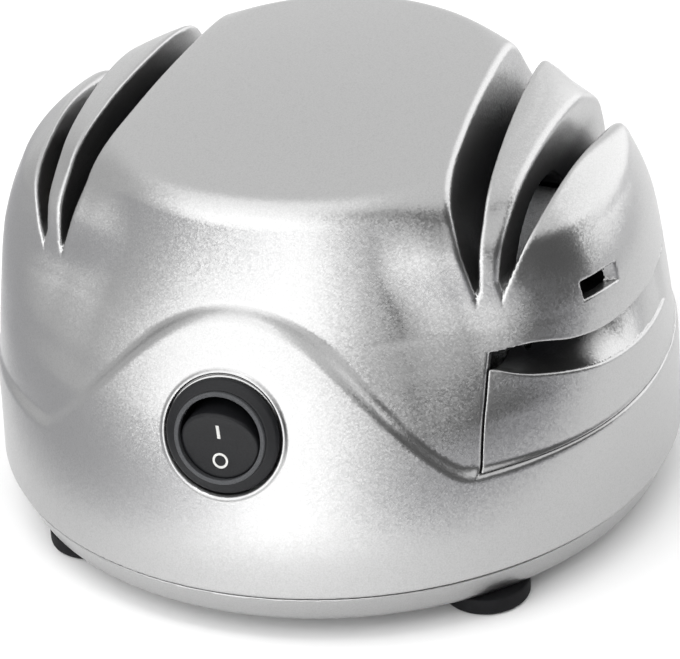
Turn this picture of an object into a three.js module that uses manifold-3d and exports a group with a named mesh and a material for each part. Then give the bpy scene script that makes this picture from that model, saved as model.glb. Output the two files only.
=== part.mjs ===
// Electric knife sharpener, built piece by piece in millimetres. +Z is up, the switch side is -Y,
// and the origin lies on the table under the middle of the round body.
import * as THREE from "three";
import { mergeVertices } from "three/addons/utils/BufferGeometryUtils.js";
import Module from "manifold-3d";

const wasm = await Module();
wasm.setup();

// Case: heights inside the case are measured from the seam between housing and base pan
const seamRadius = 70;
const crownHeight = 79;
const footDrop = 3.8;
const panHeight = 7.4;
const wall = 2.4;
const clearance = 0.3;
const overrun = 6;

// Case outline
const crownRadiusX = 205;
const crownRadiusY = 221;
const rimFillet = 4.5;
const ledgeHeight = 21.5;
const ledgeProud = 0.5;
const ledgeRise = 0.8;
const humpTop = 54;
const humpSwing = 44;
const humpReach = 66;
const backInset = 4.5;

// Blade slots and fins. A mouth's drop is counted down from the crown, and a bite is how far
// the slot's narrow bottom lies under the top of the wheel.
const finCentreShare = 0.62857;
const finWidth = 7.9;
const innerMouth = 7.7;
const innerMouthDrop = 3.5;
const innerBite = 5.06;
const outerMouth = 5.9;
const outerMouthDrop = 11.6;
const outerBite = 5.81;
const slotTip = 0.8;
const plateauToe = 0.1;
const finInnerToe = 0.085;
const finOuterToe = 0.033;
const shoulderToe = 0.06;

// Grinding wheels, on a shaft that lies along X. The shaft's end nut turns just over the tray's floor.
const nutFloorGap = 0.9;
const shaftRadius = 3;
const pressGap = 0.05;
const runningGap = 0.08;
const wheelRadius = 24;
const wheelThickness = 8.4;
const wheelChamfer = 0.8;
const pocketGap = 1.6;
const pocketSideGap = 0.9;
const flangeRadius = 9;
const flangeThickness = 3;
const nutRadius = 6;
const nutThickness = 4;
const shaftEnd = 1;

// Motor
const rotorRadius = 13;
const rotorOverhang = 0.5;
const airGap = 0.6;
const statorReach = 22;
const statorFront = 24;
const windowFront = 16.5;
const windowWidth = 9;
const legThickness = 9;
const coilBuild = 7;
const bobbinWall = 1.2;
const bearingRadius = 6.4;
const bearingLength = 7;
const bearingFlange = 8;
const bearingFlangeThickness = 1.5;
const bracketGap = 8;
const bracketThickness = 2;
const bracketHalfWidth = 11;
const bracketShoulder = 15;
const boltPlace = 18.5;
const boltRadius = 1.6;
const boltHeadRadius = 3.1;
const boltHeadHeight = 2.4;
const boltTail = 4.4;
const fanRadius = 21;
const fanWheelGap = 2.8;
const fanBearingGap = 1;
const fanLength = 7;
const fanDisc = 1.2;
const fanHubRadius = 7;
const fanBlades = 9;
const fanBladeThickness = 1.4;

// Switch, set square to the leaning front wall
const switchHeight = 32.9;
const switchLean = 14.5;
const switchSink = 1.3;
const bezelRadius = 11.6;
const bezelThickness = 2;
const bezelRound = 0.7;
const bezelRingRadius = 9.7;
const bezelRingRise = 0.8;
const switchBodyRadius = 10;
const switchDepth = 16;
const rockerOpening = 8.95;
const rockerWell = 6.6;
const rockerHalfWidth = 8.05;
const rockerHalfLength = 7.3;
const rockerPivotDepth = 3;
const rockerEndHeight = 6.7;
const rockerDish = 1.2;
const rockerDrop = 1;
const rockerTilt = 28;
const terminalWidth = 6.3;
const terminalThickness = 0.8;
const terminalLength = 8;
const terminalSpread = 4;

// Screwdriver slot in the right shoulder
const toolSlotLength = 11.4;
const toolSlotHeight = 4.6;
const toolSlotY = -19;
const toolLipRise = 9.35;
const toolSlotFall = 18;
const toolSkin = 1.2;
const toolGuideWall = 1.4;
const toolGuideLength = 8;
const toolSeatGap = 0.1;
const toolReach = 20;
const shoulderAngle = 70;

// Filings tray and scissors slot
const trayPlaneStep = 1.8;
const trayGap = 0.4;
const trayNotchGap = 1.8;
const trayNotchSide = 3;
const trayHollowSide = 10;
const trayWall = 2.2;
const rampEnd = 14;
const railSide = 7;
const railHalf = 2;
const railTail = 5.8;

// Feet, screws, gland and terminal block
const footRadius = 8.8;
const footInset = 8.17;
const footAngle = 45.41;
const footShift = 1.6;
const stemRadius = 3;
const stemCapRadius = 4.2;
const stemCapHeight = 1.6;
const footRound = 1.2;
const panFlare = 3;
const panEdge = 1.2;
const lipRise = 2.2;
const lipThickness = 1.6;
const ventPlaces = 3;
const ventPitch = 6;
const ventStart = 18;
const ventWidth = 2.6;
const ventHalf = 13;
const labelHalf = 19;
const labelBack = -27;
const labelFront = -43;
const labelDepth = 0.4;
const bossRadius = 4.6;
const bossX = 25;
const bossInset = 20;
const screwRadius = 1.5;
const screwHeadRadius = 3;
const screwHeadHeight = 2;
const screwLength = 14;
const screwSink = 0.3;
const crossHalf = 0.5;
const crossReach = 2;
const crossDepth = 1.2;
const postRadius = 4;
const postFront = -16;
const postBack = 29;
const glandHeight = 10;
const glandBore = 3.2;
const glandRadius = 5.2;
const glandFlange = 7;
const glandFlangeThickness = 1.5;
const glandGrip = 2.2;
const blockHalf = 9;
const blockDepth = 10;
const blockHeight = 9;
const blockInset = 6.2;
const blockPitch = 5.6;
const blockBore = 1.7;

// Outlines as shares: height over crownHeight, radius over seamRadius
const sideShares = [
  [0, 1], [0.14, 0.994], [0.27, 0.988], [0.47, 0.964], [0.61, 0.941], [0.684, 0.918],
  [0.747, 0.889], [0.797, 0.857], [0.855, 0.772], [0.886, 0.733], [0.911, 0.697], [0.93, 0.666],
  [0.95, 0.629], [1, 0.5],
];
const towerShares = [
  [0, 0.985], [0.28, 0.944], [0.39, 0.915], [0.456, 0.88], [0.5, 0.858], [0.54, 0.83],
  [0.58, 0.8], [0.61, 0.777], [0.684, 0.743], [0.797, 0.707], [0.95, 0.671], [1, 0.66],
];
const lowerShares = [
  [0, 1], [0.14, 0.99], [0.28, 0.963], [0.42, 0.921], [0.51, 0.881], [0.595, 0.83],
  [0.684, 0.77], [0.8, 0.69],
];
// Shoulder's lower edge over the scissors slot and the tray's rim: y over seamRadius, and
// height above the ledge over the rise from the ledge to the crown
const lipShares = [
  [-0.75, 0.371], [-0.56, 0.377], [-0.494, 0.386], [-0.409, 0.3565], [-0.284, 0.3345],
  [-0.157, 0.326], [0, 0.3225], [0.2, 0.3225], [0.8, 0.3225],
];
const rimShares = [
  [-0.75, 0.3565], [-0.6, 0.342], [-0.572, 0.325], [-0.55, 0.3055], [-0.523, 0.287],
  [-0.477, 0.2675], [-0.421, 0.247], [-0.344, 0.2225], [-0.247, 0.203], [-0.14, 0.1885],
  [-0.03, 0.18], [0.1, 0.175], [0.3, 0.175],
];
// Heights over crownHeight between which the back wall draws in
const backInsetShares = [0.45, 0.75];
// How far the scissors ramp runs inward for each unit that it climbs, over the same y
const rampShares = [
  [-0.75, 7], [-0.5, 7], [-0.42, 4.5], [-0.36, 2.4], [-0.3, 1.3], [-0.2, 0.6], [-0.1, 0.3],
  [0, 0.15], [0.2, 0.13],
];
// The ramp's bounds in degrees from the front, where the round front wall turns into the shoulders
const blendStart = 40;
const blendEnd = 66;
const lowerBlendStart = 30;
const lowerBlendEnd = 75;

const seamZ = footDrop + panHeight;
const shaftHeight = ledgeHeight + trayGap + trayWall + nutRadius + nutFloorGap;
const shaftZ = seamZ + shaftHeight;

// Places along the shaft, from the wheels inwards
const finCentre = seamRadius * finCentreShare;
const wheelHalf = wheelThickness / 2;
const wheelFace = finCentre + wheelHalf;
const wheelInner = finCentre - wheelHalf;
const fanStart = wheelInner - flangeThickness - fanWheelGap - fanLength;
const bracketFace = fanStart - fanBearingGap - bearingLength + bearingFlangeThickness;
const stackHalf = bracketFace - bracketGap;

// Slots: mouth and bottom heights, and how far each leaning wall runs in for each unit of height
const innerMouthHeight = crownHeight - innerMouthDrop;
const outerMouthHeight = crownHeight - outerMouthDrop;
const innerBottom = shaftHeight + wheelRadius - innerBite;
const outerBottom = shaftHeight + wheelRadius - outerBite;
const innerLean = (innerMouth - slotTip) / (innerMouthHeight - innerBottom);
const outerLean = (outerMouth - slotTip) / (outerMouthHeight - outerBottom);
const radians = Math.PI / 180;

// Colours, from the photograph
const finish = {
  silver: { color: 0xb9babb, roughness: 0.38, metalness: 0.85 },
  black: { color: 0x1b1b1d, roughness: 0.45, metalness: 0 },
  rubber: { color: 0x0c0c0d, roughness: 0.8, metalness: 0 },
  steel: { color: 0xa7a9ab, roughness: 0.3, metalness: 1 },
  copper: { color: 0xa5532a, roughness: 0.4, metalness: 1 },
  brass: { color: 0xc2a24e, roughness: 0.35, metalness: 1 },
  coarseGrit: { color: 0x6f6256, roughness: 0.9, metalness: 0 },
  fineGrit: { color: 0xc9c2b6, roughness: 0.85, metalness: 0 },
  nylon: { color: 0xe4e0d4, roughness: 0.5, metalness: 0 },
};

const sharpener = new THREE.Group();

// Value of a table of [place, value] pairs at t, along a smooth curve through the pairs
function along(table, t) {
  const last = table.length - 1;
  const x = Math.min(Math.max(t, table[0][0]), table[last][0]);
  let i = 0;
  while (i < last - 1 && x > table[i + 1][0]) i += 1;
  const slope = (k) => {
    const a = table[Math.max(k - 1, 0)];
    const b = table[Math.min(k + 1, last)];
    return (b[1] - a[1]) / (b[0] - a[0]);
  };
  const [x0, y0] = table[i];
  const [x1, y1] = table[i + 1];
  const span = x1 - x0;
  const s = (x - x0) / span;
  const blend = s * s * (3 - 2 * s);
  const tangentIn = s * (1 - s) * (1 - s) * span * slope(i);
  const tangentOut = s * s * (s - 1) * span * slope(i + 1);
  return y0 + (y1 - y0) * blend + tangentIn + tangentOut;
}

function smoothstep(low, high, value) {
  const s = Math.min(Math.max((value - low) / (high - low), 0), 1);
  return s * s * (3 - 2 * s);
}

// A closed solid from a triangle list, turned so that its faces point out
function solidFrom(points, triangles) {
  const positions = new Float32Array(points.flat());
  const geometry = new THREE.BufferGeometry();
  geometry.setAttribute("position", new THREE.BufferAttribute(positions, 3));
  geometry.setIndex(triangles.flat());
  return solidOf(geometry);
}

function solidOf(geometry) {
  const bare = geometry.clone();
  bare.deleteAttribute("normal");
  bare.deleteAttribute("uv");
  const merged = mergeVertices(bare, 1e-4);
  const position = merged.attributes.position;
  const index = Array.from(merged.index.array);
  const corners = [new THREE.Vector3(), new THREE.Vector3(), new THREE.Vector3()];
  let volume = 0;
  const kept = [];
  for (let i = 0; i < index.length; i += 3) {
    const [a, b, c] = index.slice(i, i + 3);
    if (a === b || b === c || a === c) continue;
    [a, b, c].forEach((v, k) => corners[k].fromBufferAttribute(position, v));
    volume += corners[0].dot(corners[1].clone().cross(corners[2]));
    kept.push([a, b, c]);
  }
  const faces = volume < 0 ? kept.map(([a, b, c]) => [a, c, b]) : kept;
  const mesh = new wasm.Mesh({
    numProp: 3,
    vertProperties: new Float32Array(position.array),
    triVerts: new Uint32Array(faces.flat()),
  });
  return new wasm.Manifold(mesh);
}

// A closed solid through a stack of rings, each a list of as many points
function loft(rings) {
  const count = rings[0].length;
  const points = rings.flat();
  const triangles = [];
  for (let k = 0; k < rings.length - 1; k += 1) {
    for (let i = 0; i < count; i += 1) {
      const j = (i + 1) % count;
      const [a, b] = [k * count + i, k * count + j];
      triangles.push([a, b, b + count], [a, b + count, a + count]);
    }
  }
  const cap = (start, flip) => {
    const centre = [0, 1, 2].map((axis) => {
      const ring = points.slice(start, start + count);
      return ring.reduce((sum, p) => sum + p[axis], 0) / count;
    });
    points.push(centre);
    const top = points.length - 1;
    for (let i = 0; i < count; i += 1) {
      const j = (i + 1) % count;
      triangles.push(flip ? [start + j, start + i, top] : [start + i, start + j, top]);
    }
  };
  const lastRing = (rings.length - 1) * count;
  cap(0, true);
  cap(lastRing, false);
  return solidFrom(points, triangles);
}

// An upright prism of any outline, between two heights
function prism(outline, low, high) {
  const shape = new THREE.Shape(outline.map(([x, y]) => new THREE.Vector2(x, y)));
  const geometry = new THREE.ExtrudeGeometry(shape, { depth: high - low, bevelEnabled: false });
  geometry.translate(0, 0, low);
  return solidOf(geometry);
}

// A prism of an outline in Y and Z, between two places along X
function prismX(outline, low, high) {
  const shape = new THREE.Shape(outline.map(([y, z]) => new THREE.Vector2(y, z)));
  const geometry = new THREE.ExtrudeGeometry(shape, { depth: high - low, bevelEnabled: false });
  geometry.applyMatrix4(new THREE.Matrix4().set(0, 0, 1, low, 1, 0, 0, 0, 0, 1, 0, 0, 0, 0, 0, 1));
  return solidOf(geometry);
}

function box(low, high) {
  const size = high.map((value, axis) => value - low[axis]);
  const geometry = new THREE.BoxGeometry(...size);
  geometry.translate(...high.map((value, axis) => (value + low[axis]) / 2));
  return solidOf(geometry);
}

// A turned solid: radius and height pairs round the Z axis
function turned(profile, segments = 48) {
  const points = profile.map(([r, z]) => new THREE.Vector2(r, z));
  const geometry = new THREE.LatheGeometry([...points], segments);
  geometry.rotateX(Math.PI / 2);
  return solidOf(geometry);
}

// A plain round bar along Z
function bar(radius, low, high, segments = 32) {
  return turned([[0, low], [radius, low], [radius, high], [0, high]], segments);
}

// A ring along Z
function ring(outer, inner, low, high, segments = 48) {
  return turned([[inner, low], [outer, low], [outer, high], [inner, high], [inner, low]], segments);
}

const onX = new THREE.Matrix4().makeRotationY(Math.PI / 2);

function placed(solid, matrix) {
  const source = solid.getMesh();
  const positions = new Float32Array(source.vertProperties);
  const geometry = new THREE.BufferGeometry();
  geometry.setAttribute("position", new THREE.BufferAttribute(positions, 3));
  geometry.setIndex(Array.from(source.triVerts));
  geometry.applyMatrix4(matrix);
  return solidOf(geometry);
}

function moved(solid, x, y, z) {
  return placed(solid, new THREE.Matrix4().makeTranslation(x, y, z));
}

// A solid turned round Z, laid along the shaft and pointing to one side of the body
function onShaft(side, solid) {
  const matrix = new THREE.Matrix4().makeTranslation(0, 0, shaftZ);
  if (side < 0) matrix.multiply(new THREE.Matrix4().makeRotationZ(Math.PI));
  return placed(solid, matrix.multiply(onX));
}

// A solid turned round Z, laid level and pointing out of the back of the body
function fromBack(solid) {
  const matrix = new THREE.Matrix4().makeTranslation(0, 0, seamZ + glandHeight);
  return placed(solid, matrix.multiply(new THREE.Matrix4().makeRotationX(-Math.PI / 2)));
}

function hexNut(radius, bore, low, high) {
  const blank = bar(radius, low, high, 6);
  return blank.subtract(bar(bore, low - overrun, high + overrun, 28));
}

// Adds a finished solid to the group as its own named mesh
function addPiece(name, solid, look) {
  const source = solid.getMesh();
  const geometry = new THREE.BufferGeometry();
  const positions = new Float32Array(source.vertProperties);
  geometry.setAttribute("position", new THREE.BufferAttribute(positions, 3));
  geometry.setIndex(Array.from(source.triVerts));
  const mesh = new THREE.Mesh(geometry, new THREE.MeshStandardMaterial(look));
  mesh.name = name;
  sharpener.add(mesh);
}

// Outer surface of the case. An angle is in degrees from the front, positive towards +X.
function foldedAngle(angle) {
  const size = Math.abs(angle);
  return Math.min(size, 180 - size);
}

function upperRadius(angle, height, inset = 0) {
  const share = height / crownHeight;
  const side = seamRadius * along(sideShares, share);
  const behind = Math.abs(angle) > 90 ? backInset * smoothstep(...backInsetShares, share) : 0;
  const front = seamRadius * along(towerShares, share) - behind;
  const blend = smoothstep(blendStart, blendEnd, foldedAngle(angle));
  return front + (side - front) * blend - inset;
}

function lowerRadius(angle, height, inset = 0) {
  const share = height / crownHeight;
  const proud = ledgeProud * smoothstep(0, ledgeHeight, height);
  const side = seamRadius * along(sideShares, share) + proud;
  const front = seamRadius * along(lowerShares, share);
  const blend = smoothstep(lowerBlendStart, lowerBlendEnd, Math.abs(angle));
  return front + (side - front) * blend - inset;
}

function crownAt(x, y, inset = 0) {
  return crownHeight - inset - (x * x) / (2 * crownRadiusX) - (y * y) / (2 * crownRadiusY);
}

// Height of the wavy step: level round the body, with one hump over the switch
function ledgeAt(angle) {
  if (Math.abs(angle) > 90) return ledgeHeight;
  let height = ledgeHeight;
  for (let pass = 0; pass < 30; pass += 1) {
    const x = lowerRadius(angle, height) * Math.sin(angle * radians);
    const turn = Math.min(Math.abs(x) / humpReach, 1);
    const hump = humpTop - (humpSwing * (1 - Math.cos(Math.PI * turn))) / 2;
    const soft = ledgeRise * 2;
    const gap = hump - ledgeHeight;
    const target = ledgeHeight + (gap + Math.sqrt(gap * gap + soft * soft)) / 2;
    height += (target - height) / 2;
  }
  return height;
}

// Height at which the upper wall meets the crown
function rimAt(angle, inset = 0) {
  let [low, high] = [humpTop, crownHeight];
  for (let pass = 0; pass < 40; pass += 1) {
    const middle = (low + high) / 2;
    const r = upperRadius(angle, middle, inset);
    const top = crownAt(r * Math.sin(angle * radians), r * Math.cos(angle * radians), inset);
    if (top > middle) low = middle;
    else high = middle;
  }
  return low;
}

// One upright section of the case: [radius, height] pairs from the seam to near the middle
function caseSection(angle, inset, counts) {
  const ledge = ledgeAt(angle) - (inset > 0 ? inset : 0);
  const rim = rimAt(angle, inset);
  const section = [];
  for (let i = 0; i <= counts.lower; i += 1) {
    const height = (ledge * i) / counts.lower;
    section.push([lowerRadius(angle, height, inset), height]);
  }
  const start = ledge + ledgeRise;
  const end = rim - rimFillet;
  for (let i = 0; i <= counts.upper; i += 1) {
    const height = start + ((end - start) * i) / counts.upper;
    section.push([upperRadius(angle, height, inset), height]);
  }
  const sine = Math.sin(angle * radians);
  const cosine = Math.cos(angle * radians);
  const crownPoint = (r) => [r, crownAt(r * sine, r * cosine, inset)];
  const corner = crownPoint(upperRadius(angle, rim, inset));
  const from = section[section.length - 1];
  const to = crownPoint(corner[0] - rimFillet);
  for (let i = 1; i <= counts.fillet; i += 1) {
    const s = i / counts.fillet;
    const weights = [(1 - s) * (1 - s), 2 * s * (1 - s), s * s];
    section.push([0, 1].map((k) => from[k] * weights[0] + corner[k] * weights[1] + to[k] * weights[2]));
  }
  for (let i = 1; i < counts.crown; i += 1) {
    section.push(crownPoint(to[0] * (1 - i / counts.crown)));
  }
  return section;
}

function caseSolid(inset, columns, counts, bottom) {
  const sections = [];
  for (let i = 0; i < columns; i += 1) {
    const angle = -180 + (360 * i) / columns;
    const section = caseSection(angle, inset, counts);
    const start = bottom < 0 ? [[section[0][0], bottom], ...section] : section;
    const [sine, cosine] = [Math.sin(angle * radians), Math.cos(angle * radians)];
    sections.push(start.map(([r, height]) => [r * sine, -r * cosine, seamZ + height]));
  }
  return loft(sections[0].map((_, row) => sections.map((section) => section[row])));
}

const outerCounts = { lower: 4, upper: 8, fillet: 3, crown: 3 };
const innerCounts = { lower: 2, upper: 5, fillet: 1, crown: 2 };
const outerCase = caseSolid(0, 80, outerCounts, 0);
const innerCase = caseSolid(wall, 40, innerCounts, -overrun);

// Slot walls as places along X, for one side of the body
const finInnerX = (y) => finCentre - finWidth / 2 - finInnerToe * y;
const finOuterX = (y) => finCentre + finWidth / 2 + finOuterToe * y;
const plateauX = (y, height) =>
  finCentre - finWidth / 2 - innerMouth - plateauToe * y + innerLean * (innerMouthHeight - height);
const shoulderX = (y, height) =>
  finCentre + finWidth / 2 + outerMouth + shoulderToe * y + outerLean * (height - outerMouthHeight);
const innerTip = (y) =>
  innerMouthHeight - (innerMouth + (plateauToe - finInnerToe) * y - slotTip) / innerLean;
const outerTip = (y) =>
  outerMouthHeight - (outerMouth + (shoulderToe - finOuterToe) * y - slotTip) / outerLean;

const reach = seamRadius + overrun;
const skyHeight = crownHeight + overrun;

// A solid that runs from front to back, from a section given for each end
function throughCut(side, sectionAt) {
  const rings = [-reach, reach].map((y) =>
    sectionAt(y).map(([x, height]) => [side * x, y, seamZ + height]),
  );
  return loft(rings);
}

const innerSlot = (side) =>
  throughCut(side, (y) => [
    [plateauX(y, skyHeight), skyHeight],
    [finInnerX(y), skyHeight],
    [finInnerX(y), innerTip(y)],
    [plateauX(y, innerTip(y)), innerTip(y)],
  ]);
const outerSlot = (side) =>
  throughCut(side, (y) => [
    [finOuterX(y), skyHeight],
    [shoulderX(y, skyHeight), skyHeight],
    [shoulderX(y, outerTip(y)), outerTip(y)],
    [finOuterX(y), outerTip(y)],
  ]);
const trough = (side) =>
  throughCut(side, (y) => [
    [plateauX(y, skyHeight) - wall, skyHeight],
    [shoulderX(y, skyHeight) + wall, skyHeight],
    [shoulderX(y, outerTip(y)) + wall, outerTip(y) - wall],
    [plateauX(y, innerTip(y)) - wall, innerTip(y) - wall],
  ]);

// Round pocket over each wheel, open to both slots of its pair
const pocketHalf = wheelHalf + pocketSideGap;
const wheelPocket = (side) =>
  moved(
    placed(bar(wheelRadius + pocketGap, -pocketHalf, pocketHalf, 64), onX),
    side * finCentre, 0, shaftZ,
  );

// Switch frame: u along X, v up the leaning wall, w out of it
const switchCentreY = -lowerRadius(0, switchHeight);
const switchFrame = new THREE.Matrix4().makeTranslation(0, switchCentreY, seamZ + switchHeight)
  .multiply(new THREE.Matrix4().makeRotationX(Math.PI / 2 - switchLean * radians))
  .multiply(new THREE.Matrix4().makeTranslation(0, 0, -switchSink));

// Heights of the shoulder's lower edge and of the tray's rim, at a place along Y
const shoulderRise = crownHeight - ledgeHeight;
const lipHeight = (y) => ledgeHeight + shoulderRise * along(lipShares, y / seamRadius);
const rimHeight = (y) => ledgeHeight + shoulderRise * along(rimShares, y / seamRadius);

// Screwdriver tunnel frame: z runs out of the shoulder and climbs by its fall
const toolSlotZ = lipHeight(toolSlotY) + toolLipRise;
const toolAngle = Math.asin(-toolSlotY / upperRadius(shoulderAngle, toolSlotZ));
const toolOuterX = upperRadius(shoulderAngle, toolSlotZ) * Math.cos(toolAngle);
const toolFrame = new THREE.Matrix4().makeTranslation(toolOuterX, toolSlotY, seamZ + toolSlotZ)
  .multiply(new THREE.Matrix4().makeRotationZ(-toolAngle))
  .multiply(new THREE.Matrix4().makeRotationY(Math.PI / 2 - toolSlotFall * radians));
const toolCut = (grow, low, high) =>
  placed(
    box(
      [-toolSlotHeight / 2 - grow, -toolSlotLength / 2 - grow, low],
      [toolSlotHeight / 2 + grow, toolSlotLength / 2 + grow, high],
    ),
    toolFrame,
  );

// Tray opening: an outline in Y and height that the tray fills but for the scissors slot
const trayPlane = finCentre + trayPlaneStep;
const rampRun = (y) => along(rampShares, y / seamRadius);
function trayOutline(gap) {
  const outline = [[reach, ledgeHeight + gap], [-reach, ledgeHeight + gap]];
  const steps = 20;
  for (let i = 0; i <= steps; i += 1) {
    const y = -seamRadius + (2 * seamRadius * i) / steps;
    outline.push([i === 0 ? -reach : i === steps ? reach : y, lipHeight(y) - gap]);
  }
  return outline.map(([y, height]) => [y, seamZ + height]);
}
const trayOpening = prismX(trayOutline(0), trayPlane, reach);

// Where the upper wall lies along X at a given Y and height
function surfaceX(y, height) {
  let [low, high] = [0, seamRadius];
  for (let pass = 0; pass < 30; pass += 1) {
    const x = (low + high) / 2;
    const angle = Math.atan2(x, -y) / radians;
    if (Math.hypot(x, y) < upperRadius(angle, height)) low = x;
    else high = x;
  }
  return low;
}

// Wedge between the ramp and the shoulder's lower edge, which takes the scissors blade
function rampInset(y) {
  const climb = Math.max(lipHeight(y) - rimHeight(y), 0);
  const fade = 1 - smoothstep(rampEnd - overrun * 4, rampEnd + overrun, y);
  return climb * rampRun(y) * fade;
}
const wedgeFront = -seamRadius * Math.SQRT1_2;
function scissorsWedge() {
  const rings = [];
  const steps = 16;
  for (let i = 0; i <= steps; i += 1) {
    const y = wedgeFront + ((rampEnd - wedgeFront) * i) / steps;
    const outerX = surfaceX(y, rimHeight(y));
    rings.push([
      [reach, y, seamZ + rimHeight(y)],
      [outerX - clearance, y, seamZ + rimHeight(y)],
      [outerX - clearance - rampInset(y), y, seamZ + lipHeight(y)],
      [reach, y, seamZ + lipHeight(y)],
    ]);
  }
  return loft(rings);
}

// Inner hollow of the tray, under the ramp and open towards the wheel
const floorTop = ledgeHeight + trayGap + trayWall;
const railInner = trayPlane - railTail;
const railPlace = wheelRadius + railSide;
const trayHollowHalf = wheelRadius + trayHollowSide;
const trayNotchHalf = wheelRadius + trayNotchSide;
const trayNotch = wheelFace + trayNotchGap;
function trayHollow() {
  const rings = [];
  const steps = 12;
  for (let i = 0; i <= steps; i += 1) {
    const y = -trayHollowHalf + (2 * trayHollowHalf * i) / steps;
    const slant = 1 + (y * y) / (2 * seamRadius * seamRadius);
    const lowX = surfaceX(y, ledgeHeight) - trayWall * slant;
    const rimX = surfaceX(y, rimHeight(y)) - trayWall * slant;
    const topX = Math.max(rimX - rampInset(y), trayPlane);
    rings.push([
      [railInner, y, seamZ + floorTop],
      [lowX, y, seamZ + floorTop],
      [rimX, y, seamZ + rimHeight(y) - trayWall],
      [topX, y, seamZ + lipHeight(y) - trayWall],
      [topX, y, seamZ + lipHeight(y) + overrun],
      [railInner, y, seamZ + lipHeight(y) + overrun],
    ]);
  }
  const notch = box([railInner, -trayNotchHalf, 0], [trayNotch, trayNotchHalf, reach]);
  return loft(rings).add(notch);
}

// Housing: the one silver moulding above the seam
const bossY = seamRadius - bossInset;
const bossPlaces = [[-1, -1], [1, -1], [1, 1], [-1, 1]].map(([sx, sy]) => [sx * bossX, sy * bossY]);
const bossTop = seamZ + humpTop;
const pilotRadius = screwRadius + clearance;
const glandSeat = upperRadius(180, glandHeight) - switchSink;
function makeHousing() {
  let shell = outerCase.subtract(innerCase);
  for (const side of [-1, 1]) {
    shell = shell.add(trough(side).intersect(outerCase));
    const rail = box(
      [railInner, side * railPlace - railHalf, seamZ + ledgeHeight - wall],
      [seamRadius, side * railPlace + railHalf, seamZ + ledgeHeight],
    );
    shell = shell.add(rail.intersect(outerCase));
  }
  for (const [x, y] of bossPlaces) {
    const column = moved(bar(bossRadius, seamZ, bossTop, 20), x, y, 0);
    shell = shell.add(column.intersect(outerCase));
  }
  for (const side of [-1, 1]) {
    shell = shell.subtract(innerSlot(side));
    shell = shell.subtract(outerSlot(side));
    shell = shell.subtract(wheelPocket(side));
  }
  shell = shell.subtract(trayOpening);
  const insert = toolGuideWall + clearance;
  shell = shell.subtract(toolCut(insert, -toolSkin - toolGuideLength - clearance, -toolSkin));
  shell = shell.subtract(toolCut(0, -toolReach, overrun));
  const hole = bar(switchBodyRadius + clearance, -switchDepth, overrun, 48);
  const seat = bar(bezelRadius + clearance * 2, 0, overrun, 64);
  shell = shell.subtract(placed(hole.add(seat), switchFrame));
  const glandHole = bar(glandRadius + clearance, reach / 2, reach, 32);
  const glandPad = bar(glandFlange + clearance, glandSeat, reach, 32);
  shell = shell.subtract(fromBack(glandHole.add(glandPad)));
  for (const [x, y] of bossPlaces) {
    const pilot = bar(pilotRadius, 0, seamZ + screwLength + clearance, 16);
    shell = shell.subtract(moved(pilot, x, y, 0));
  }
  return shell;
}
addPiece("housing", makeHousing(), finish.silver);

// Base pan: floor, low wall with a lip inside the housing, screw posts, motor posts and vents
const panFloor = footDrop + wall;
const statorBottom = shaftZ - statorReach;
const panBottomRadius = seamRadius - panFlare;
const footReach = panBottomRadius - footInset;
const footX = footReach * Math.sin(footAngle * radians);
const footY = footReach * Math.cos(footAngle * radians);
const footSpots = [[-1, -1], [1, -1], [1, 1], [-1, 1]].map(([sx, sy]) =>
  [sx * footX + footShift, sy * footY],
);
function makePan() {
  const lipOuter = seamRadius - wall - clearance * 2;
  const lipInner = lipOuter - lipThickness;
  const flatRadius = panBottomRadius - panEdge;
  let pan = turned([
    [0, footDrop],
    [flatRadius, footDrop],
    [panBottomRadius, footDrop + panEdge],
    [seamRadius - clearance, seamZ - clearance],
    [lipOuter, seamZ - clearance],
    [lipOuter, seamZ + lipRise],
    [lipInner, seamZ + lipRise],
    [flatRadius - lipThickness, panFloor],
    [0, panFloor],
  ], 72);
  for (const [x, y] of bossPlaces) {
    pan = pan.add(moved(bar(bossRadius, footDrop, seamZ, 20), x, y, 0));
  }
  for (const y of [postFront, postBack]) {
    pan = pan.add(moved(bar(postRadius, footDrop, statorBottom, 20), 0, y, 0));
  }
  for (const [x, y] of bossPlaces) {
    const headRadius = screwHeadRadius + clearance;
    const recess = bar(headRadius, 0, footDrop + screwHeadHeight + screwSink, 20);
    pan = pan.subtract(moved(recess, x, y, 0));
    pan = pan.subtract(moved(bar(pilotRadius, 0, seamZ + overrun, 16), x, y, 0));
  }
  for (const [x, y] of footSpots) {
    pan = pan.subtract(moved(bar(stemRadius + clearance, 0, seamZ, 20), x, y, 0));
  }
  for (const side of [-1, 1]) {
    for (let i = 0; i < ventPlaces; i += 1) {
      const x = side * (ventStart + i * ventPitch);
      pan = pan.subtract(
        box([x - ventWidth / 2, -ventHalf, 0], [x + ventWidth / 2, ventHalf, seamZ]),
      );
    }
  }
  return pan.subtract(box([-labelHalf, labelFront, 0], [labelHalf, labelBack, footDrop + labelDepth]));
}
addPiece("base_pan", makePan(), finish.silver);

// Feet: rubber cups, each held by a stem through the floor
const stemTop = panFloor + stemCapHeight;
footSpots.forEach(([x, y], i) => {
  const foot = turned([
    [0, 0],
    [footRadius - footRound, 0],
    [footRadius, footRound],
    [footRadius, footDrop],
    [stemRadius, footDrop],
    [stemRadius, panFloor],
    [stemCapRadius, panFloor],
    [stemCapRadius - footRound, stemTop],
    [0, stemTop],
  ], 28);
  addPiece(`foot_${i + 1}`, moved(foot, x, y, 0), finish.rubber);
});

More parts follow.
